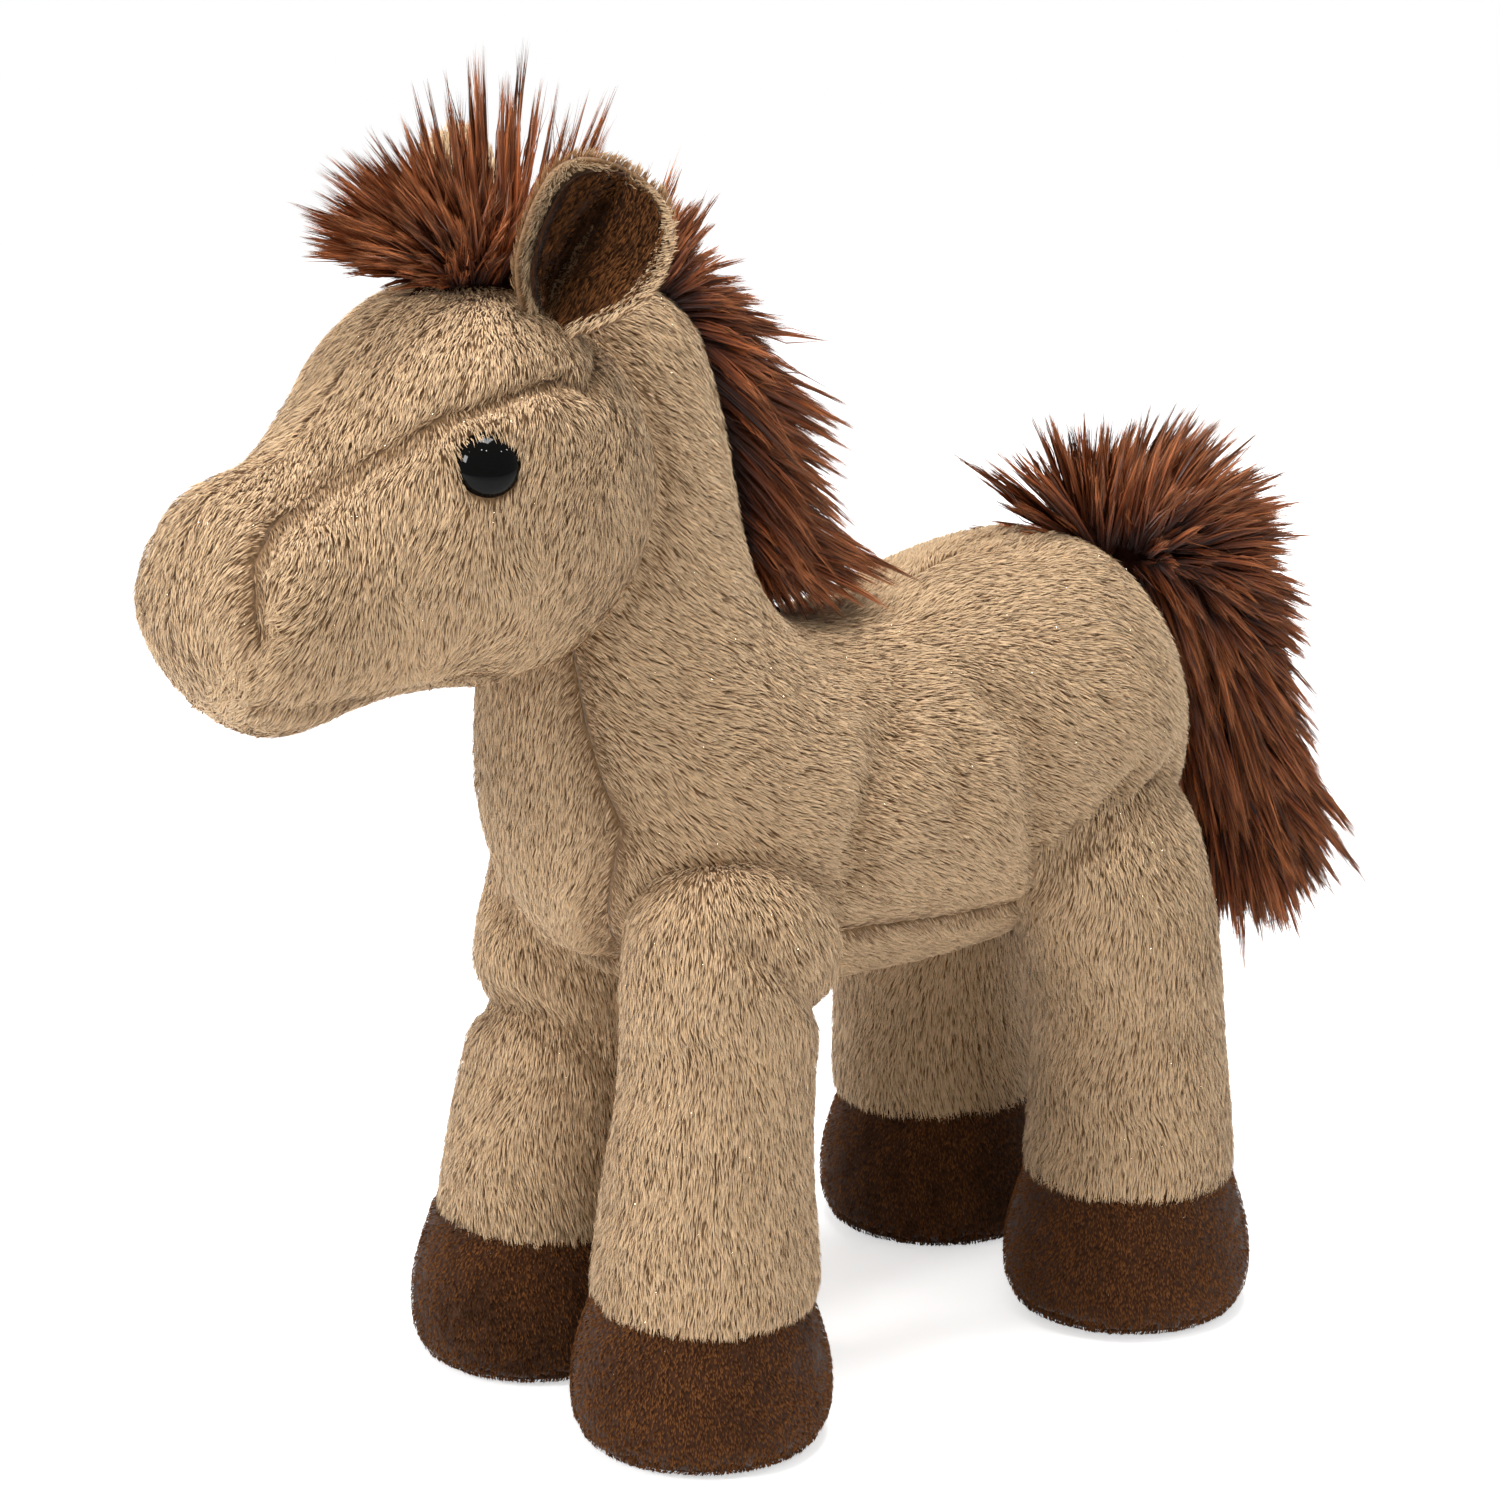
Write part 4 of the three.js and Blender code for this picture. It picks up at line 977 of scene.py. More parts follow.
def pile(name, skin, chosen, comb, creases, look, length, width, density, body, others=(), limit=0.0,
         seed=0, rise=(29, 4), spare=None, raised=None, flakes=0.03, mottle=0.05, shade=0.0):
    """Combed pile on the chosen faces of a skin. comb gives the direction in which it lies at each
    place. Strands buried deeper than the limit in other parts are left out. rise holds the angles of a
    strand's lower and upper half, spare says where strands may grow, raised how far they stand up,
    flakes is the share that glitters, mottle changes the tone at random, and shade darkens the whole
    tone as painted shade."""
    rng = np.random.default_rng(SEED + seed)
    places, normals = scatter(skin.data, chosen, density, rng)
    sunk = np.full(len(places), -1.0)
    for tree in others:
        sunk = np.maximum(sunk, depth_inside(tree, places))
    free = sunk < limit
    if spare is not None:
        free &= spare(places)
    places, normals, sunk = places[free], normals[free], sunk[free]
    lie = unit(comb(places))
    lie += (LONG_WANDER * waves(places, LONG_WAVE, rng) + SHORT_WANDER * waves(places, SHORT_WAVE, rng)
            + STRAND_WANDER * rng.normal(size=places.shape))
    parted = np.exp(-(sunk / TUCK_REACH) ** 2) * TUCKED
    for crease in creases:
        strength, away = crease.reach(places)
        lie += away * (strength * crease.parting * SEAM_PARTING)[:, None]
        parted = np.maximum(parted, strength * crease.parting)
    lie = unit(lie - normals * (lie * normals).sum(1, keepdims=True))
    clumps = waves(places, CLUMP, rng, 9)
    lifted = np.zeros(len(places)) if raised is None else raised(places)
    lengths = length * (1 - PARTED_SHORTER * parted) * rng.uniform(*STRAND_LENGTH_RANGE, len(places))
    half = (lengths / 2)[:, None]
    spine = [places]
    for angle, lifting in zip(rise, EYE_FRINGE_LIFT):
        wobble = STRAND_ANGLE_SPREAD * rng.normal(size=len(places)) + CLUMP_ANGLE_SPREAD * clumps[:, 1]
        leaning = np.radians(angle + wobble + lifting * lifted)[:, None]
        spine.append(spine[-1] + half * (np.cos(leaning) * lie + np.sin(leaning) * normals))
    _, middle, tip = spine
    spines = np.stack([places - normals * CLOTH_THICKNESS / 4, middle, tip], 1)
    across = unit(np.cross(normals, lie) + STRAND_TWIST * normals * rng.normal(size=(len(places), 1)))
    sides = (across * (width / 2 * rng.uniform(*STRAND_WIDTH_RANGE, (len(places), 1))))[:, None, :]
    shading = unit(normals + STRAND_SHADING_SPREAD * rng.normal(size=normals.shape)
                   + STRAND_SHADING_LEAN * lie)
    # Tone: random by clump and by strand, and darkened as painted shade where the pile parts or goes into
    # another part.
    tones = (STRAND_TONE + CLUMP_TONE_SPREAD * clumps[:, 2]
             + STRAND_TONE_SPREAD * rng.normal(size=len(places)) - PARTED_PAINTED_SHADE * parted)
    # mottle changes the tone at random; shade darkens all of it as painted shade.
    tones += mottle * waves(places, MOTTLE, rng)[:, 0] - shade
    sparkle = rng.random(len(places)) < flakes
    flake = lie[sparkle][:, None] * (FLAKE_SHARES[None, :, None] * FLAKE)
    spines[sparkle] = middle[sparkle][:, None] + flake
    spines[sparkle] += normals[sparkle][:, None] * FLAKE_HEIGHT
    sides[sparkle] = (unit(across[sparkle]) * FLAKE / 2)[:, None]
    tilt = FLAKE_SHADING_SPREAD * rng.normal(size=(sparkle.sum(), 3))
    shading[sparkle] = unit(normals[sparkle] + tilt)
    spines[:, :, 2] = np.maximum(spines[:, :, 2], STRAND_FLOOR_GAP)
    parts = max(1, math.ceil(len(places) / STRANDS_A_PIECE))
    for i, part in enumerate(np.array_split(np.argsort(places[:, 1]), parts)):
        part_name = f"{name}_{i + 1}" if parts > 1 else name
        mesh = strand_mesh(part_name, spines[part], sides[part], np.repeat(shading[part][:, None], 3, 1),
                           np.clip(tones[part], 0, 1))
        add_strands(mesh, look, body, sparkle[part])


# Directions in which the pile lies
def comb_body(points):
    """Back towards the tail, and more down on the rump and on the chest."""
    y = (points[:, 1] - BODY_MIDDLE) / BODY_LENGTH
    z = (points[:, 2] - BELLY_HEIGHT) / BODY_HEIGHT
    down = 0.6 + 1.2 * np.clip(y - 0.22, 0, 1) + 0.9 * np.clip(-y - 0.35, 0, 1) + 1.1 * np.clip(z - 1, 0, 1)
    return np.stack([0.2 * np.sign(points[:, 0]), np.full(len(points), 1.0), -down], 1)


def comb_down(points):
    return np.tile([0, -0.15, -1.0], (len(points), 1))


def comb_head(points):
    """Down the face, and outwards round the muzzle."""
    forward = (HEAD_PIVOT.y - points[:, 1]) / MUZZLE_REACH
    muzzle = np.clip(forward - 0.5, 0, 1) * 2
    return np.stack([0.25 * np.sign(points[:, 0]), -0.3 - 0.8 * muzzle, np.full(len(points), -1.0)], 1)


def comb_along(direction):
    return lambda points: np.tile(direction, (len(points), 1))


def comb_limb(middle):
    def comb(points):
        out = unit(np.stack([points[:, 0] - middle.x, points[:, 1] - middle.y, np.zeros(len(points))], 1))
        return out * 0.3 + np.array([0, 0, -1.0])
    return comb


# Covers and their filling
def inflated(piece, creases):
    """The cover blown up by its filling, and held at its seams."""
    start, normals = points_of(piece.data), normals_of(piece.data)
    hold = np.zeros(len(start))
    for crease in creases:
        strength, _ = crease.reach(start)
        hold = np.maximum(hold, strength * min(crease.parting, 1))
    group = piece.vertex_groups.new(name="seams")
    for i in np.flatnonzero(hold > SEAM_HOLD_SHARE):
        group.add([int(i)], float(hold[i]), "REPLACE")
    modifier = piece.modifiers.new("cloth", "CLOTH")
    settings = modifier.settings
    settings.quality = CLOTH_QUALITY
    settings.mass = CLOTH_MASS
    settings.use_pressure = True
    settings.uniform_pressure_force = CLOTH_PRESSURE
    settings.effector_weights.gravity = 0
    settings.vertex_group_mass = "seams"
    settings.bending_stiffness = CLOTH_BENDING
    modifier.collision_settings.use_collision = False
    for step in range(1, CLOTH_STEPS + 1):
        bpy.context.scene.frame_set(step)
    baked(piece)
    bpy.context.scene.frame_set(1)
    piece.vertex_groups.clear()
    moved = points_of(piece.data) - start
    far = np.linalg.norm(moved, axis=1, keepdims=True)
    moved = moved * np.minimum(1, CLOTH_REACH / np.maximum(far, 1e-9))
    swelling = (moved * normals).sum(1).mean()
    set_points(piece.data, start + moved)
    return moved_in(piece, swelling - SLACK)


def eased(piece, middle, reach):
    """Smooths the surface round a place."""
    bm = bmesh.new()
    bm.from_mesh(piece.data)
    near = [vert for vert in bm.verts if (vert.co - middle).length < reach]
    for _ in range(EASING_STEPS):
        bmesh.ops.smooth_vert(bm, verts=near, factor=0.5, use_axis_x=True, use_axis_y=True, use_axis_z=True)
    bm.to_mesh(piece.data)
    bm.free()


def skin_of(form, make_creases, depth=PILE_DEPTH, ease_at=None):
    """The cloth skin of a form: taken in, blown up by the cloth simulation, then creased."""
    creases = make_creases(tree_of(form))
    skin = remeshed(form)
    if ease_at is not None:
        eased(skin, ease_at, WITHERS_REACH)
    moved_in(skin, depth + SLACK)
    inflated(skin, creases)
    subdivided(skin)
    press(skin, creases)
    return skin, creases


def split(skin, labels):
    """Evens out the line between faces with different labels, so that cut edges are smooth."""
    bm = bmesh.new()
    bm.from_mesh(skin.data)
    bm.faces.ensure_lookup_table()
    edges = [edge for edge in bm.edges if len({labels[face.index] for face in edge.link_faces}) == 2]
    for _ in range(EDGE_SMOOTHING_STEPS):
        near = {}
        for edge in edges:
            for vert in edge.verts:
                near.setdefault(vert, []).append(edge.other_vert(vert).co.copy())
        for vert, others in near.items():
            if len(others) == 2:
                vert.co = vert.co / 2 + (others[0] + others[1]) / 4
    bm.to_mesh(skin.data)
    bm.free()


def cut_out(name, skin, chosen):
    bm = bmesh.new()
    bm.from_mesh(skin.data)
    bm.faces.ensure_lookup_table()
    bmesh.ops.delete(bm, geom=[face for face in bm.faces if not chosen[face.index]], context="FACES")
    return new_piece(name, from_bmesh(name, bm))


def with_wall(piece, thickness=CLOTH_THICKNESS):
    modifier = piece.modifiers.new("wall", "SOLIDIFY")
    modifier.thickness = thickness
    modifier.offset = -1
    return baked(piece)


def padded_piece(piece, nodes, body, look):
    """A soft piece that stands for nodes, with its material and body."""
    piece.data.materials.clear()
    piece.data.materials.append(MATERIALS[look])
    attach(piece, body)
    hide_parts(*nodes)


def cover(name, node, skin, chosen, body, look):
    """The cloth that the chosen faces of a skin make, which stands for a node."""
    padded_piece(with_wall(cut_out(name, skin, chosen)), [node], body, look)


def wadding(name, node, skin, body, above=None, below=None):
    """Filling inside a skin, cut level where it meets the next."""
    bm = bmesh.new()
    bm.from_mesh(skin.data)
    piece = new_piece(name, from_bmesh(name, bm))
    moved_in(piece, WADDING_DEPTH)
    if above is not None or below is not None:
        bm = bmesh.new()
        bm.from_mesh(piece.data)
        height = above if above is not None else below
        cut = bmesh.ops.bisect_plane(
            bm, geom=bm.verts[:] + bm.edges[:] + bm.faces[:], plane_co=(0, 0, height), plane_no=(0, 0, 1),
            clear_inner=above is not None, clear_outer=below is not None)
        rim = [item for item in cut["geom_cut"] if isinstance(item, bmesh.types.BMEdge)]
        bmesh.ops.holes_fill(bm, edges=rim, sides=0)
        bm.to_mesh(piece.data)
        bm.free()
    padded_piece(piece, [node], body, "fibre")


def face_labels(mesh, panels):
    """For each face, the first panel whose test it passes."""
    middles = face_middles(mesh)
    labels = np.full(len(middles), len(panels) - 1)
    for i in reversed(range(len(panels) - 1)):
        labels[panels[i][1](middles)] = i
    return labels


# Panels of the torso and of the head, cut along their seams
def in_side_outline(outline):
    return lambda points: inside_outline(points[:, [1, 2]], outline)


belly_outline = flat(belly_line(), SIDE_VIEW)
belly_outline += [(belly_outline[-1][0], 0), (belly_outline[0][0], 0)]
chest_outline = flat(chest_line(), FRONT_VIEW)
chest_outline += [(-x, z) for x, z in reversed(chest_outline)]
top_outline = flat(head_line(HEAD_TOP_SEAM_SHARES + HEAD_TOP_FAR_SHARES), SIDE_VIEW)
chin_outline = flat(head_line(CHIN_SEAM_SHARES + CHIN_FAR_SHARES), SIDE_VIEW)


def in_chest(points):
    return inside_outline(points[:, [0, 2]], chest_outline) & (points[:, 1] < CHEST_LIMIT)


def on_left(points):
    return points[:, 0] > 0


TORSO_PANELS = [
    ("belly_gusset", in_side_outline(belly_outline)),
    ("chest_gusset", in_chest),
    ("body_side_left", on_left),
    ("body_side_right", None),
]
HEAD_PANELS = [
    ("head_top_gusset", in_side_outline(top_outline)),
    ("chin_gusset", in_side_outline(chin_outline)),
    ("head_side_left", on_left),
    ("head_side_right", None),
]


# Eyes: where each one sits, from the post and dome that the frame has
def eye_seat(side):
    node = frame["nodes"][f"eye_{side}"]
    points = points_of(node.data)
    matrix = np.array(node.matrix_world)
    points = points @ matrix[:3, :3].T + matrix[:3, 3]
    middle = points.mean(0)
    values, vectors = np.linalg.eigh(np.cov((points - middle).T))
    odd = 0 if values[1] - values[0] > values[2] - values[1] else 2
    axis = vectors[:, odd] * np.sign(vectors[0, odd]) * SIDES[side]
    along = (points - middle) @ axis
    radial = np.linalg.norm(points - middle - along[:, None] * axis, axis=1)
    rim = points[radial > 0.97 * radial.max()].mean(0)
    return rim - axis * EYE_SINK, axis


EYE_SEATS = {side: eye_seat(side) for side in SIDES}


def clear_of_eyes(points):
    free = np.ones(len(points), bool)
    for seat, axis in EYE_SEATS.values():
        offset = points - seat
        along = offset @ axis
        radial = np.linalg.norm(offset - along[:, None] * axis, axis=1)
        edge = EYE_RADIUS * (EYE_CLEAR_SHARE - EYE_LID_SHARE * (offset[:, 2] > 0))
        free &= (radial > edge) | (along < -EYE_RADIUS)
    return free


def over_eyes(points):
    """How much the pile stands up, just above an eye, so that it falls over the rim."""
    lift = np.zeros(len(points))
    for seat, axis in EYE_SEATS.values():
        offset = points - seat
        above = np.clip(offset[:, 2] / EYE_RADIUS, 0, 1)
        lift = np.maximum(lift, above * (np.linalg.norm(offset, axis=1) < EYE_RADIUS * EYE_FRINGE_REACH))
    return lift


def eye_hollows():
    return [Crease([Vector(seat), Vector(seat + axis * MM)], EYE_HOLLOW_DEPTH,
                   EYE_RADIUS * EYE_HOLLOW_REACH, EYE_HOLLOW_PARTING) for seat, axis in EYE_SEATS.values()]


def spun(name, profile, seat, axis, steps=48):
    """A turned piece: rows of radius and height, about an axis through its seat."""
    bm = bmesh.new()
    verts = [bm.verts.new((radius, 0, height)) for radius, height in profile]
    edges = [bm.edges.new(pair) for pair in zip(verts, verts[1:])]
    bmesh.ops.spin(bm, geom=verts + edges, cent=(0, 0, 0), axis=(0, 0, 1), angle=2 * math.pi, steps=steps,
                   use_merge=True)
    bmesh.ops.remove_doubles(bm, verts=bm.verts, dist=1e-6)
    bmesh.ops.recalc_face_normals(bm, faces=bm.faces)
    turn = Vector(axis).to_track_quat("Z", "Y").to_matrix().to_4x4()
    bmesh.ops.transform(bm, matrix=Matrix.Translation(seat) @ turn, verts=bm.verts)
    return new_piece(name, from_bmesh(name, bm))


def add_eye(side):
    seat, axis = EYE_SEATS[side]
    quarter = [math.radians(angle) for angle in range(0, 91, 6)]
    profile = [(EYE_RADIUS * math.sin(a), EYE_DOME_HEIGHT * math.cos(a)) for a in quarter]
    profile += [(EYE_RADIUS * 0.97, -EYE_EDGE), (EYE_POST_RADIUS, -EYE_BACK)]
    profile += [(EYE_POST_RADIUS, -EYE_POST_LENGTH), (0, -EYE_POST_LENGTH)]
    eye = spun(f"eye_{side}_dome", profile, seat, axis)
    eye.data.materials.append(MATERIALS["eye_gloss"])
    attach(eye, "head")
    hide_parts(f"eye_{side}")
    return eye


# Ears: a sheet bent across its width. Rows are the share of the length, the share of the width and
# the share of the cup's depth.
EAR_SECTION_SHARES = [
    (-0.06, 0.3, 0.15), (0.02, 0.38, 0.4), (0.12, 0.6, 0.8), (0.3, 0.88, 1), (0.52, 1, 0.95),
    (0.7, 0.97, 0.8), (0.84, 0.85, 0.55), (0.94, 0.6, 0.35), (0.985, 0.34, 0.2), (1, 0.1, 0.1),
]
EAR_UP_SHARES = (0.24, 0.36, 0.9)
EAR_FACING_SHARES = (0.86, -0.5, 0.1)
EAR_FOLD_LINE_SHARES = (0.08, 0.3, 0.5, 0.68)
EAR_FOLD_MIDDLE_SHARE = 0.42
EAR_FOLD_REACH_SHARE = 0.34
EAR_FOLD_SPREAD_SHARE = 0.17
EAR_GRID = (26, 36)


def ear_axes(side):
    mirror = Vector((SIDES[side], 1, 1))
    up = (mirror * Vector(EAR_UP_SHARES)).normalized()
    back = -(mirror * Vector(EAR_FACING_SHARES)).normalized()
    width = back.cross(up).normalized()
    back = up.cross(width).normalized()
    return np.array(width), np.array(back), np.array(up)


def ear_root(side):
    shift = np.array([EAR_INSET * SIDES[side], EAR_FORWARD, EAR_DROP])
    return np.array(PIVOTS[f"ear_{side}_flop"]) - shift


def fold_place(along):
    """Where the ear's fold runs, as a share of half its width behind the middle."""
    return 0.5 * along - 0.32


def ear_sheet(name, side, margin, offset, front_margin=None):
    """One layer of an ear as a sheet, its front face towards the opening."""
    front_margin = margin if front_margin is None else front_margin
    width, back, up = ear_axes(side)
    root = ear_root(side)
    rows = smooth_rows(EAR_SECTION_SHARES, 4)
    bm = bmesh.new()
    bmesh.ops.create_grid(bm, x_segments=EAR_GRID[0], y_segments=EAR_GRID[1], size=1)
    piece = new_piece(name, from_bmesh(name, bm))
    flat_points = points_of(piece.data)
    across, along = flat_points[:, 0], (flat_points[:, 1] + 1) / 2
    at = along * (len(rows) - 1)
    rise, wide, cup = (np.interp(at, np.arange(len(rows)), rows[:, k]) for k in range(3))
    half = np.maximum(wide * EAR_WIDTH / 2 - (margin + front_margin) / 2, EAR_LEAST_HALF_WIDTH)
    top = EAR_LENGTH - margin * 0.7
    aside = np.sign(width[1]) * (front_margin - margin) / 2
    place = across * half / np.maximum(wide * EAR_WIDTH / 2, MM) + aside / (EAR_WIDTH / 2)
    bow = (0.5 - place ** 2) * cup * EAR_CUP_DEPTH + offset
    fold_at = np.sign(width[1]) * fold_place(along)
    fold = np.exp(-((place - fold_at) / EAR_FOLD_SPREAD_SHARE) ** 2)
    fold *= np.exp(-((along - EAR_FOLD_MIDDLE_SHARE) / EAR_FOLD_REACH_SHARE) ** 2)
    bow += EAR_FOLD_DEPTH * fold
    curl = np.clip(-across * np.sign(width[1]), 0, 1) ** 3 * np.sin(np.pi * np.clip(rise, 0, 1))
    bow -= EAR_CURL * curl
    sideways = across * half + aside + np.sign(width[1]) * EAR_CURL * 0.8 * curl
    points = root + np.outer(sideways, width) + np.outer(bow, back) + np.outer(rise * top, up)
    set_points(piece.data, points)
    return piece


def facing(piece, direction):
    """Turns the sheet's faces to look along a direction."""
    bm = bmesh.new()
    bm.from_mesh(piece.data)
    total = Vector((0, 0, 0))
    for face in bm.faces:
        total += face.normal * face.calc_area()
    if total.dot(Vector(direction)) < 0:
        bmesh.ops.reverse_faces(bm, faces=bm.faces)
    bm.to_mesh(piece.data)
    bm.free()
    return piece


def whole_of(piece):
    return np.ones(len(piece.data.polygons), bool)


def add_ear_back(side, seed):
    _, back, up = ear_axes(side)
    outer = facing(ear_sheet(f"ear_back_{side}_cloth", side, 0, EAR_BACK_OFFSET), back)
    pile(f"ear_back_{side}_pile", outer, whole_of(outer), comb_along(up - 0.2 * back), [], "tan_pile",
         PILE_LENGTH * 0.85, PILE_WIDTH, PILE_DENSITY, f"ear_{side}", seed=seed, limit=EAR_BURIED)
    with_wall(outer, EAR_BACK_THICKNESS)
    padded_piece(outer, [f"ear_back_{side}"], f"ear_{side}", "tan_cloth")


def add_ear_rim(side, seed):
    """Pile of the back that turns over the edge and frames the lining."""
    width, back, up = ear_axes(side)
    root = ear_root(side)
    rim = facing(ear_sheet("rim", side, 0, 0), -back)
    across = face_middles(rim.data) - root
    rows = smooth_rows(EAR_SECTION_SHARES, 4)
    wide = np.interp(across @ up / EAR_LENGTH, rows[:, 0], rows[:, 1]) * EAR_WIDTH / 2
    rim_width = np.where(across @ width * width[1] < 0, EAR_FRONT_RIM_WIDTH, EAR_RIM_WIDTH)
    at_side = np.abs(across @ width) > wide - rim_width - EAR_RIM_OVERLAP
    near_edge = at_side | (across @ up > EAR_LENGTH * 0.92)

    def outwards(points):
        return np.outer(np.sign((points - root) @ width), width) + 0.9 * up - 0.3 * back

    pile(f"ear_rim_{side}_pile", rim, near_edge, outwards, [], "tan_pile", PILE_LENGTH * 0.8, PILE_WIDTH,
         PILE_DENSITY * 1.2, f"ear_{side}", seed=seed, limit=EAR_BURIED, rise=(50, 20))
    bpy.data.objects.remove(rim)


def add_ear_lining(side, seed):
    width, back, up = ear_axes(side)
    name = f"ear_lining_{side}"
    lining = ear_sheet(f"{name}_cloth", side, EAR_RIM_WIDTH, EAR_LINING_OFFSET, EAR_FRONT_RIM_WIDTH)
    facing(lining, -back)
    rear = width * np.sign(width[1])
    bottom = ear_root(side) + back * EAR_CUP_DEPTH
    fold_line = [Vector(bottom + up * EAR_LENGTH * share + rear * fold_place(share) * EAR_WIDTH / 2)
                 for share in EAR_FOLD_LINE_SHARES]
    # The nap is darkened as painted shade: in the fold by its parting, and all over the lining by shade.
    fold = Crease(fold_line, 0, EAR_FOLD_WIDTH, 1.7)
    pile(f"{name}_nap", lining, whole_of(lining), comb_along(up - 0.15 * back), [fold], "suede_nap",
         NAP_LENGTH * 1.9, NAP_WIDTH, NAP_DENSITY * 1.5, f"ear_{side}", seed=seed, limit=EAR_BURIED,
         rise=(50, 16), flakes=0, shade=0.24)
    with_wall(lining)
    padded_piece(lining, [name], f"ear_{side}", "brown_cloth")


def add_ear(side, seed):
    add_ear_back(side, seed)
    add_ear_rim(side, seed + 1)
    add_ear_lining(side, seed + 2)


# Hair. Rows in millimetres from the frame's origin: where a lock starts and where it ends, seen from
# the side, as y and height.
FORELOCK_FAN = [
    (-127, 312, -147, 322), (-127, 312, -165, 323), (-127, 312, -163, 329), (-126, 313, -167, 334),
    (-125, 313, -159, 338), (-124, 313, -155, 343), (-123, 313, -151, 347), (-121, 313, -145, 349),
    (-119, 313, -139, 351), (-117, 313, -133, 352),
]
FORELOCK_CROWN = [
    (-129, 312, -144, 326), (-126, 312, -139, 331), (-122, 312, -131, 337), (-119, 311, -122, 340),
    (-114, 311, -112, 341), (-108, 310, -102, 340), (-102, 307, -94, 336), (-97, 304, -86, 328),
]
FORELOCK_SPIKES = [
    (-121, 311.5, -133, 365), (-120, 311.5, -129, 355), (-117, 311.5, -126, 366),
    (-115, 311.5, -123, 358), (-114, 311.5, -118, 370), (-112, 310.5, -113, 370),
    (-110, 310.5, -109, 369), (-108, 309.5, -105, 359), (-107, 309.5, -98, 371),
    (-106, 308.5, -96, 364), (-104, 307.5, -87, 355), (-102, 306.5, -75, 361), (-102, 305.5, -77, 357),
    (-122, 311.5, -139, 355),
]
MANE_FAN = [
    (-67.5, 306, -56.75, 339), (-66.5, 305, -51.75, 327), (-65.5, 304, -47.75, 326),
    (-63.5, 303, -46.75, 318), (-62.5, 302, -40.75, 311), (-60.5, 300, -27.75, 298),
    (-58.5, 298, -23.75, 292), (-56.5, 295, -18.75, 285), (-53.5, 291, -10.75, 271),
    (-53, 286, -9.5, 264), (-50, 281, 3.5, 257), (-48, 276, -2.5, 249), (-46, 270, 5.5, 239),
    (-44, 263, 2.5, 230), (-41, 255, 4.5, 221), (-39, 247, 13.5, 214), (-33, 236, 25.5, 213),
    (-33, 230, 17.5, 203),
]
MANE_FALL = [
    (-53.5, 290, -22.75, 258), (-51, 283, -19.5, 246), (-48, 275, -15.5, 234), (-45, 266, -13.5, 224),
    (-42, 257, -11.5, 216), (-40, 248, -10.5, 210), (-38, 240, -15.5, 210), (-37, 233, -23.5, 212),
    (-37, 236, -5.5, 207), (-34, 229, 6.5, 205),
]
TAIL_FAN = [
    (101, 210, 103, 249), (103, 211, 111, 246), (106, 212, 124, 247), (109, 213, 139, 246),
    (113, 213, 147, 240), (117, 212, 153, 234), (121, 211, 165, 224), (125, 209, 169, 215),
    (129, 206, 171, 205), (133, 202, 172.4, 195), (136, 198, 175.08, 184), (139, 193, 177.12, 176),
    (142, 188, 174.8, 165), (144, 182, 174.6, 155), (146, 175, 177.04, 142), (148, 168, 178, 130),
    (150, 161, 180, 121), (152, 154, 186, 111), (155, 146, 197, 100), (157, 138, 196, 92),
    (158, 130, 188, 86), (158, 122, 178, 81), (157, 116, 168, 77),
]
TAIL_FALL = [
    (108, 206, 124, 168), (112, 205, 128, 176), (116, 204, 134, 166), (121, 200, 138, 156),
    (126, 195, 142, 144), (130, 188, 146, 132), (134, 180, 150, 120), (137, 171, 153, 110),
    (140, 162, 158, 101), (143, 153, 163, 92), (145, 144, 168, 86), (146, 135, 163, 79),
    (146, 127, 154, 78), (145, 119, 150, 83),
]
RUMP_FALL = [
    (110, 204, 122, 172), (116, 196, 129, 154), (122, 184, 134, 138), (128, 170, 141, 120),
    (133, 157, 146, 104), (138, 145, 151, 88),
]
TUFT_SPIKES = [
    (90, 211, 47, 248), (91, 211, 51, 247), (92, 212, 72, 256), (93, 212, 75, 255), (92, 211, 69, 245),
    (94, 212, 85, 249), (95, 212, 94, 258), (96, 212, 101, 250), (90, 210, 50, 222), (90, 210, 53, 219),
    (91, 210, 57, 231), (92, 211, 63, 235), (93, 211, 81, 244), (94, 211, 90, 244), (90, 210, 60, 224),
]


def bezier(points, t):
    """Points of cubic curves. points are ... x 4 x 3, and t is ... x steps."""
    t = t[..., None]
    a, b, c, d = (points[..., None, k, :] for k in range(4))
    return a * (1 - t) ** 3 + 3 * b * t * (1 - t) ** 2 + 3 * c * t ** 2 * (1 - t) + d * t ** 3


def started_along(rows, share, end):
    """Rows that start part of the way along the given ones, and end before their tips."""
    return [(y + share * (tip_y - y), z + share * (tip_z - z), y + end * (tip_y - y), z + end * (tip_z - z))
            for y, z, tip_y, tip_z in rows]


def between(first, second, share, count=12):
    """Rows part of the way from one set to another."""
    sets = []
    for rows in (first, second):
        columns = np.array(rows, float).T
        at = np.linspace(0, len(rows) - 1, count)
        sets.append(np.stack([np.interp(at, np.arange(len(rows)), column) for column in columns], 1))
    return sets[0] + share * (sets[1] - sets[0])


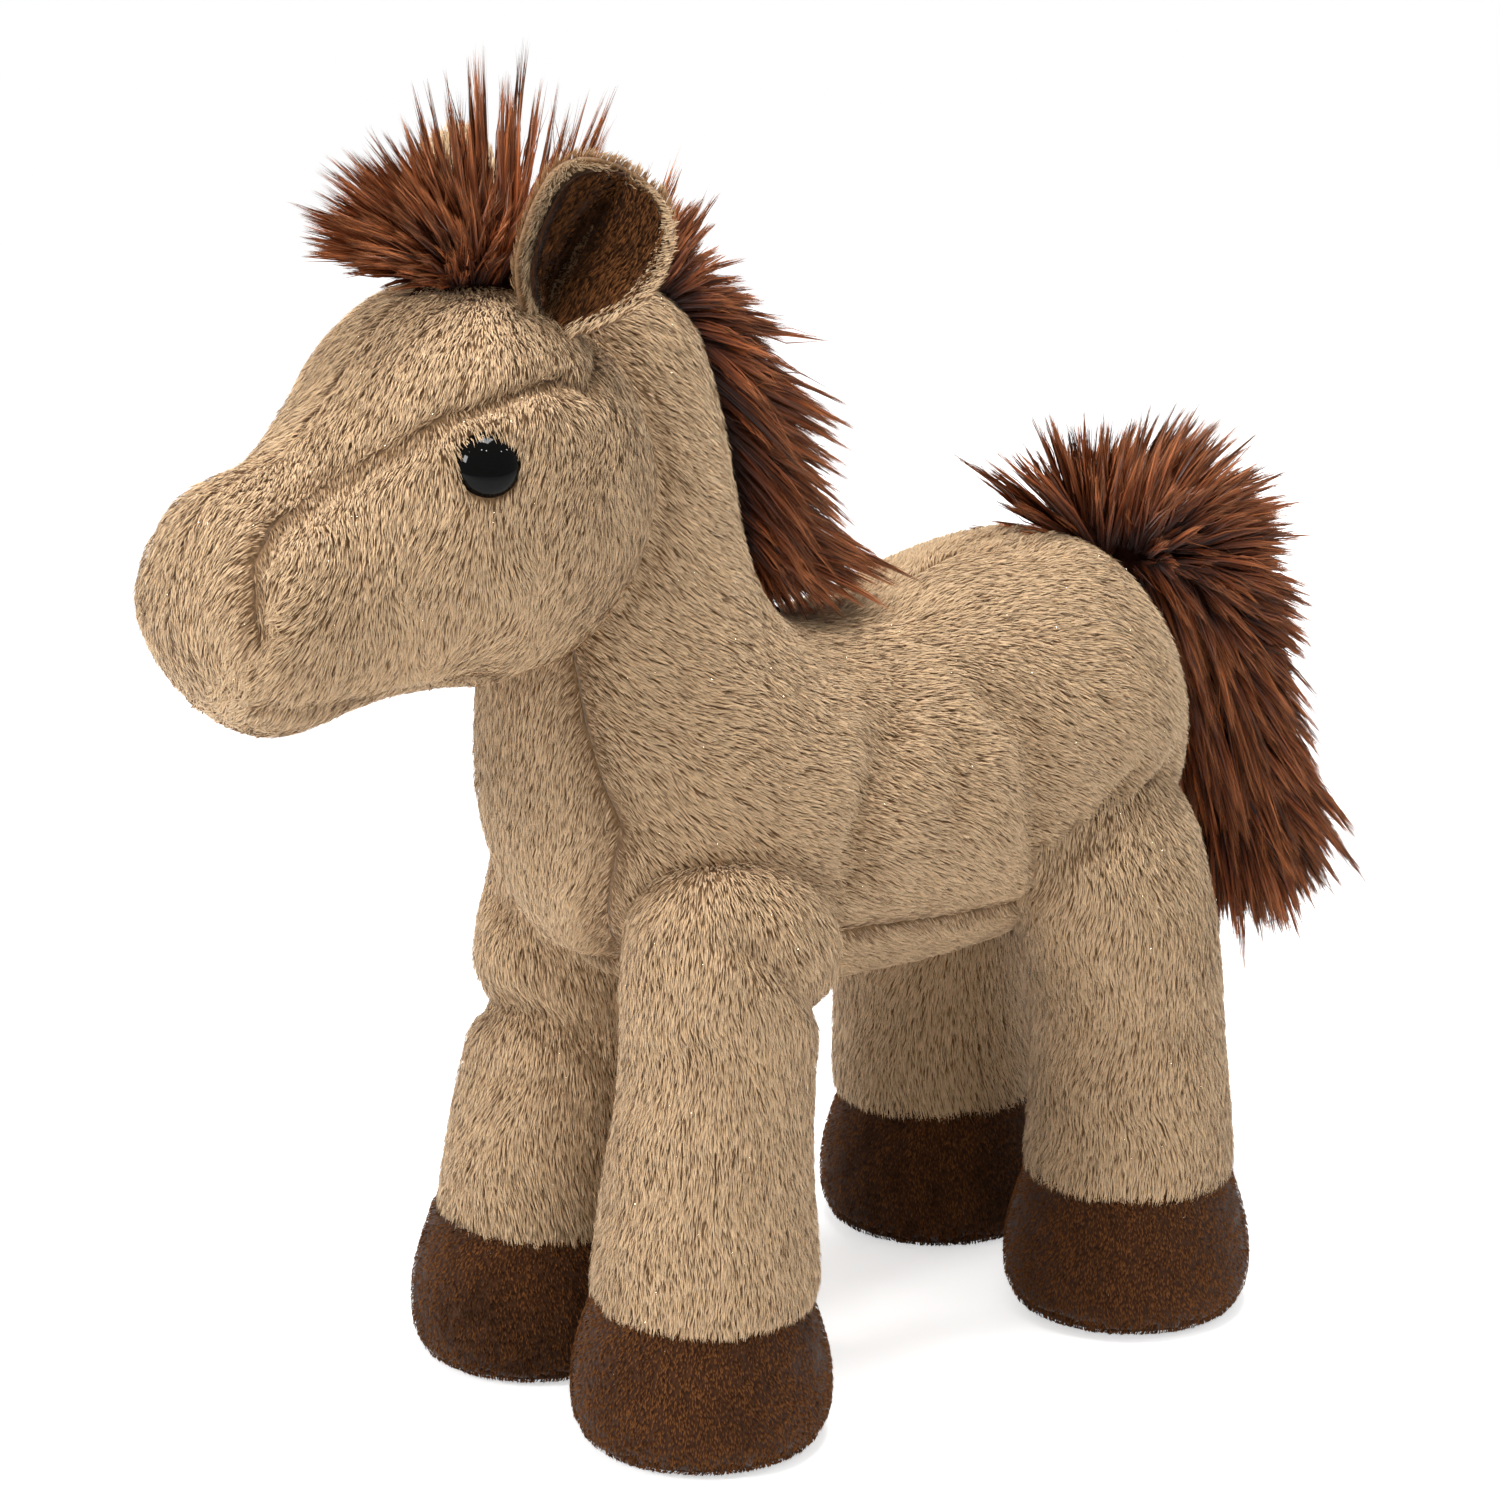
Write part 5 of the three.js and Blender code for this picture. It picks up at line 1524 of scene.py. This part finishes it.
def lock_curves(rows, count, spread, splay, rise, fall, shorter, jitter, rng):
    """Curves of locks, four points each, fanned out to both sides of the middle, and their fan angles."""
    rows = np.array(rows, float) * MM
    at = rng.uniform(0, len(rows) - 1, count) if count != len(rows) else np.arange(count, dtype=float)
    columns = [np.interp(at, np.arange(len(rows)), rows[:, k]) for k in range(4)]
    wander = jitter * MM * rng.normal(size=(count, 2))
    root = np.stack([spread * MM * rng.uniform(-1, 1, count), columns[0], columns[1]], 1)
    tip = np.stack([root[:, 0], columns[2] + wander[:, 0], columns[3] + wander[:, 1]], 1)
    run = tip - root
    length = np.linalg.norm(run, axis=1)
    aside = LOCK_ASIDE * root[:, 0] / (spread * MM) + LOCK_ASIDE_SPREAD * rng.normal(size=count)
    fan = np.radians(splay) * np.clip(aside, -LOCK_ASIDE_LIMIT, LOCK_ASIDE_LIMIT)
    reach = np.sqrt(1 - 0.7 * np.clip(fan / np.radians(splay), -1, 1) ** 2)
    reach *= 1 - shorter * rng.random(count) ** 2
    tip = root + run * (np.cos(fan) * reach)[:, None]
    tip[:, 0] += np.sin(fan) * length * reach
    run = tip - root
    length = np.linalg.norm(run, axis=1)
    ahead = unit(run)
    lift = np.array([0, 0, 1.0])
    start = unit(ahead + rise * lift)
    end = unit(ahead - fall * lift)
    leaving = root + start * (LOCK_LEAVING_SHARE * length)[:, None]
    arriving = tip - end * (LOCK_ARRIVING_SHARE * length)[:, None]
    return np.stack([root, leaving, arriving, tip], 1), fan


def hair(name, body, rows, count, strands, spread, splay, thickness, seed, rise, fall, shorter, jitter):
    """Pointed locks of hair between rows of starts and tips."""
    rng = np.random.default_rng(SEED + seed)
    curves, fan = lock_curves(rows, count, spread, splay, rise, fall, shorter, jitter, rng)
    ends = 1 - HAIR_ENDS_SHORTER * rng.random((count, strands)) ** 2
    t = np.linspace(0, 1, HAIR_STEPS) * ends[..., None]
    spines = bezier(curves[:, None].repeat(strands, 1), t)
    tangents = unit(np.gradient(spines, axis=2))
    outer_side = np.sign(curves[:, 0, 0] + HAIR_SIDE_REACH * np.sin(fan))
    outward = unit(np.stack([outer_side, np.zeros(count), np.full(count, HAIR_OUTWARD_RISE)], 1))
    outward = outward[:, None, None] + 0 * tangents
    side = unit(np.cross(outward, tangents))
    other = np.cross(tangents, side)
    turn = rng.uniform(0, 2 * math.pi, (count, strands, 1, 1))
    away = np.sqrt(rng.random((count, strands, 1, 1)))
    swell = np.interp(t, LOCK_PLACES, LOCK_SWELL)[..., None]
    girth = (thickness * MM * rng.uniform(*LOCK_WIDTH_RANGE, count))[:, None, None, None]
    push = np.cos(turn) * side + np.sin(turn) * other
    spines = spines + push * swell * away * girth
    phase = rng.uniform(0, HAIR_PHASES, (count, strands, 1))
    sway = np.sin(t * HAIR_WAVES + phase)[..., None] * t[..., None]
    stray = 1 + STRAY_SWAY * (rng.random((count, strands, 1, 1)) < STRAY_SHARE)
    spines = spines + sway * HAIR_SWAY * stray * rng.normal(size=(count, strands, 1, 3))
    shading = unit(push * away + outward * HAIR_SHADING_OUTWARD
                   + HAIR_SHADING_SPREAD * rng.normal(size=(count, strands, 1, 3)))
    across = unit(np.cross(shading, tangents))
    taper = 1 - HAIR_TAPER * t[..., None] ** 2
    width = HAIR_WIDTH / 2 * taper * rng.uniform(*HAIR_WIDTH_RANGE, (count, strands, 1, 1))
    sides = (across * width)[:, :, 1:-1]
    tones = (HAIR_TONE + LOCK_TONE_SPREAD * rng.normal(size=(count, 1))
             + HAIR_TONE_SPREAD * rng.normal(size=(count, strands)))
    # Painted light and shade: lighter on the outside of a lock, darker inside it.
    tones += HAIR_LOCK_PAINTED_SHADE * (away[..., 0, 0] - 0.5)
    total = count * strands
    mesh = strand_mesh(name, spines.reshape(total, HAIR_STEPS, 3), sides.reshape(total, HAIR_STEPS - 2, 3),
                       shading.reshape(total, HAIR_STEPS, 3), np.clip(tones.ravel(), 0, 1))
    add_strands(mesh, "auburn_hair", body)


def hair_base(name, node, body, rows):
    """The backing and the crushed roots that the locks grow from, dark as painted shade deep in the hair.
    Rows are y, height, half width, half depth, in millimetres."""
    rows = smooth_rows(rows, 3) * MM
    middles = np.stack([np.zeros(len(rows)), rows[:, 0], rows[:, 1]], 1)
    runs = unit(np.gradient(middles, axis=0))
    rings = []
    for middle, run, row in zip(middles, runs, rows):
        deep = np.cross(run, (1.0, 0, 0)) * row[3]
        rings.append((middle, (row[2], 0, 0), deep))
    piece = loft(name, rings, HAIR_BASE_SIDES)
    piece.data.materials.append(MATERIALS["hair_painted_shade_cloth"])
    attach(piece, body)
    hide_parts(node)


# The hair's backings, and its sets of locks: what the piece's name ends with, the rows, how many locks,
# strands in a lock, half the spread of the roots, splay in degrees, thickness of a lock, seed, rise at
# the root, fall at the tip, how much shorter some locks are, and jitter of the tips. In millimetres.
HAIR_BODIES = {"forelock": "head", "mane": "torso", "tail": "tail", "croup_tuft": "torso"}
HAIR_BASES = {
    "forelock": [(-134, 307, 3, 3), (-129, 309.5, 5, 4), (-122, 311, 7, 5), (-110, 309.5, 8, 6),
                 (-99, 304.5, 6, 5), (-94, 301, 3, 3)],
    "mane": [(-68, 304, 3, 3), (-61, 303, 5, 5), (-54, 292, 6, 6), (-49, 277, 7, 6), (-45, 260, 7, 6),
             (-41, 243, 7, 6), (-36, 226, 7, 6), (-27, 213, 5, 4), (-21, 209, 3, 3)],
    "tail": [(103, 207, 4, 4), (113, 206, 8, 7), (124, 199, 10, 11), (134, 187, 11, 13), (141, 172, 11, 14),
             (147, 154, 11, 14), (151, 137, 10, 12), (153, 122, 8, 9), (154, 114, 4, 5)],
    "croup_tuft": [(82, 209, 4, 3), (86, 211, 7, 5), (93, 212, 8, 6), (99, 211, 6, 5), (102, 210, 3, 3)],
}
SPIKES_A_ROW = 6
TAIL_MIDDLE = between(TAIL_FAN, TAIL_FALL, 0.35)
TAIL_HEART = started_along(between(TAIL_FAN, TAIL_FALL, 0.65), 0.1, 0.95)
HAIR_SETS = {
    "forelock": [
        ("hair", FORELOCK_FAN, 340, 20, 7, 26, 1.1, 60, 0.25, 0.1, 0.35, 3),
        ("crown_hair", FORELOCK_CROWN, 320, 18, 9, 42, 1.1, 67, 0.3, 0.3, 0.35, 7),
        ("spikes", FORELOCK_SPIKES * SPIKES_A_ROW, len(FORELOCK_SPIKES) * SPIKES_A_ROW, 16, 7, 9, 0.8, 61,
         0.05, 0, 0.25, 1),
    ],
    "mane": [
        ("hair", MANE_FAN, 620, 20, 9, 16, 1.15, 62, 0.15, 0.15, 0.35, 2.4),
        ("inner_hair", started_along(MANE_FAN, 0.15, 0.75), 360, 18, 9, 20, 1.4, 68, 0.2, 0.2, 0.35, 4),
        ("fall_hair", MANE_FALL, 420, 20, 11, 18, 1.15, 63, 0.1, 0.3, 0.35, 3),
    ],
    "tail": [
        ("hair", TAIL_FAN, 900, 20, 12, 20, 1.2, 64, 0.15, 0.2, 0.35, 2.4),
        ("inner_hair", started_along(TAIL_FAN, 0.1, 0.7), 520, 18, 14, 26, 1.5, 66, 0.1, 0.25, 0.35, 4),
        ("fall_hair", TAIL_FALL, 520, 20, 12, 20, 1.2, 69, 0.1, 0.2, 0.35, 3),
        ("middle_hair", TAIL_MIDDLE, 400, 18, 13, 24, 1.2, 71, 0.1, 0.2, 0.35, 5),
        ("heart_hair", TAIL_HEART, 400, 18, 13, 26, 1.2, 72, 0.1, 0.2, 0.35, 5),
        ("rump_hair", RUMP_FALL, 220, 18, 12, 14, 1.4, 70, 0.05, 0.1, 0.35, 2),
    ],
    "croup_tuft": [
        ("hair", TUFT_SPIKES * SPIKES_A_ROW, len(TUFT_SPIKES) * SPIKES_A_ROW, 16, 8, 18, 0.8, 65,
         0.25, 0.1, 0.2, 1.2),
    ],
}


# The horse
def dress(name, node, skin, chosen, body, comb, creases, others, limit, seed, spare=None, raised=None):
    """A cover of tan cloth with its pile."""
    cover(f"{name}_cloth", node, skin, chosen, body, "tan_cloth")
    pile(f"{name}_pile", skin, chosen, comb, creases, "tan_pile", PILE_LENGTH, PILE_WIDTH, PILE_DENSITY,
         body, others, limit, seed, spare=spare, raised=raised)


def dress_torso(body, others):
    skin, creases = skin_of(body, body_creases, ease_at=body_point(*WITHERS_SHARES))
    labels = face_labels(skin.data, TORSO_PANELS)
    split(skin, labels)
    for i, (node, _) in enumerate(TORSO_PANELS):
        comb = comb_down if node == "chest_gusset" else comb_body
        dress(node, node, skin, labels == i, "torso", comb, creases, others, TORSO_BURIED, i)
    waist = body_height(WAIST_SHARE)
    wadding("body_wadding", "body_filling", skin, "torso", below=waist)
    wadding("neck_wadding", "neck_filling", skin, "torso", above=waist)
    bpy.data.objects.remove(skin)


def dress_head(head, others):
    skin, creases = skin_of(head, lambda tree: head_creases(tree) + eye_hollows())
    labels = face_labels(skin.data, HEAD_PANELS)
    split(skin, labels)
    for i, (node, _) in enumerate(HEAD_PANELS):
        dress(node, node, skin, labels == i, "head", comb_head, creases, others, HEAD_BURIED,
              HEAD_SEED + i, clear_of_eyes, over_eyes)
    wadding("head_wadding", "head_filling", skin, "head")
    bpy.data.objects.remove(skin)


def dress_leg(end, side, leg, others, turn):
    name = f"{end}_{side}"
    skin, creases = skin_of(leg, lambda tree: leg_creases(end, side, tree))
    chosen = face_middles(skin.data)[:, 2] > HOOF_HEIGHT - HOOF_OVERLAP
    split(skin, chosen)
    comb = comb_limb(hoof_middle(end, side))
    dress(f"{name}_leg", f"{name}_leg_cover", skin, chosen, f"{name}_leg", comb, creases, others,
          LEG_BURIED, LEG_SEED + turn)
    bpy.data.objects.remove(skin)
    dress_hoof(end, side, turn)
    fill_leg(end, side, creases)


def sole_ring(end, side):
    middle = hoof_middle(end, side)
    turns = np.linspace(0, 2 * math.pi, LOFT_SIDES + 1)
    return [Vector((middle.x + HOOF_RADIUS * math.cos(a), middle.y + HOOF_RADIUS * math.sin(a),
                    SOLE_HEIGHT)) for a in turns]


def above_floor(points):
    return points[:, 2] > NAP_FLOOR_GAP


def dress_hoof(end, side, turn):
    """The suede hoof and its sole, with painted shade that darkens the hooves of the far side."""
    name = f"{end}_{side}"
    hoof = moved_in(remeshed(hoof_form(end, side), HOOF_VOXEL), NAP_DEPTH)
    seam = Crease(sole_ring(end, side), *SOLE_SEAM)
    press(hoof, [seam])
    heights = face_middles(hoof.data)[:, 2]
    on_sole = heights < SOLE_HEIGHT
    on_hoof = ~on_sole & (heights < HOOF_HEIGHT)
    for part, node, chosen in [("sole", f"{name}_sole", on_sole), ("hoof", f"{name}_hoof_cover", on_hoof)]:
        cover(f"{name}_{part}_cloth", node, hoof, chosen, f"{name}_leg", "brown_cloth")
        pile(f"{name}_{part}_nap", hoof, chosen, comb_limb(hoof_middle(end, side)), [seam], "suede_nap",
             NAP_LENGTH, NAP_WIDTH, NAP_DENSITY, f"{name}_leg", (), NAP_BURIED,
             HOOF_SEED + 2 * turn + (part == "sole"), rise=(44, 16), flakes=0.001, spare=above_floor,
             mottle=0.16, shade=FAR_HOOF_SHADE * (side == "right"))
    bpy.data.objects.remove(hoof)


def fill_leg(end, side, creases):
    """The filling of a leg and its hoof in one."""
    name = f"{end}_{side}"
    rows = HOOF_ROWS[:-1] + LEG_ROWS[end, side][3:]
    whole = remeshed(loft(f"{name}_leg_whole", limb_rings(end, side, rows)))
    press(moved_in(whole, PILE_DEPTH + WADDING_DEPTH), creases)
    wadding(f"{name}_leg_wadding", f"{name}_leg_filling", whole, f"{name}_leg")
    bpy.data.objects.remove(whole)


def fit_eye(side):
    """An eye, and the nylon of the washer that the frame gives."""
    eye = add_eye(side)
    frame["nodes"][f"eye_washer_{side}"].material_slots[0].material = MATERIALS["washer_nylon"]
    return eye


add_camera()
add_floor()
add_world()
for name, place, size, power in LAMPS:
    add_lamp(name, Vector(place), size, power)

body = body_form()
head = head_form()
legs = {(end, side): leg_form(end, side) for end, side in LEG_ROWS}
body_tree, head_tree = tree_of(body), tree_of(head)
dress_torso(body, [head_tree] + [tree_of(leg) for leg in legs.values()])
dress_head(head, [body_tree])
for i, ((end, side), leg) in enumerate(legs.items()):
    dress_leg(end, side, leg, [body_tree], i)
for i, side in enumerate(SIDES):
    eye = fit_eye(side)
    if side == "left":
        add_glints(eye)
    add_ear(side, EAR_SEED + 5 * i)

for node, body in HAIR_BODIES.items():
    hair_base(f"{node}_base", node, body, HAIR_BASES[node])
    for ending, rows, *sizes in HAIR_SETS[node]:
        hair(f"{node}_{ending}", body, rows, *sizes)
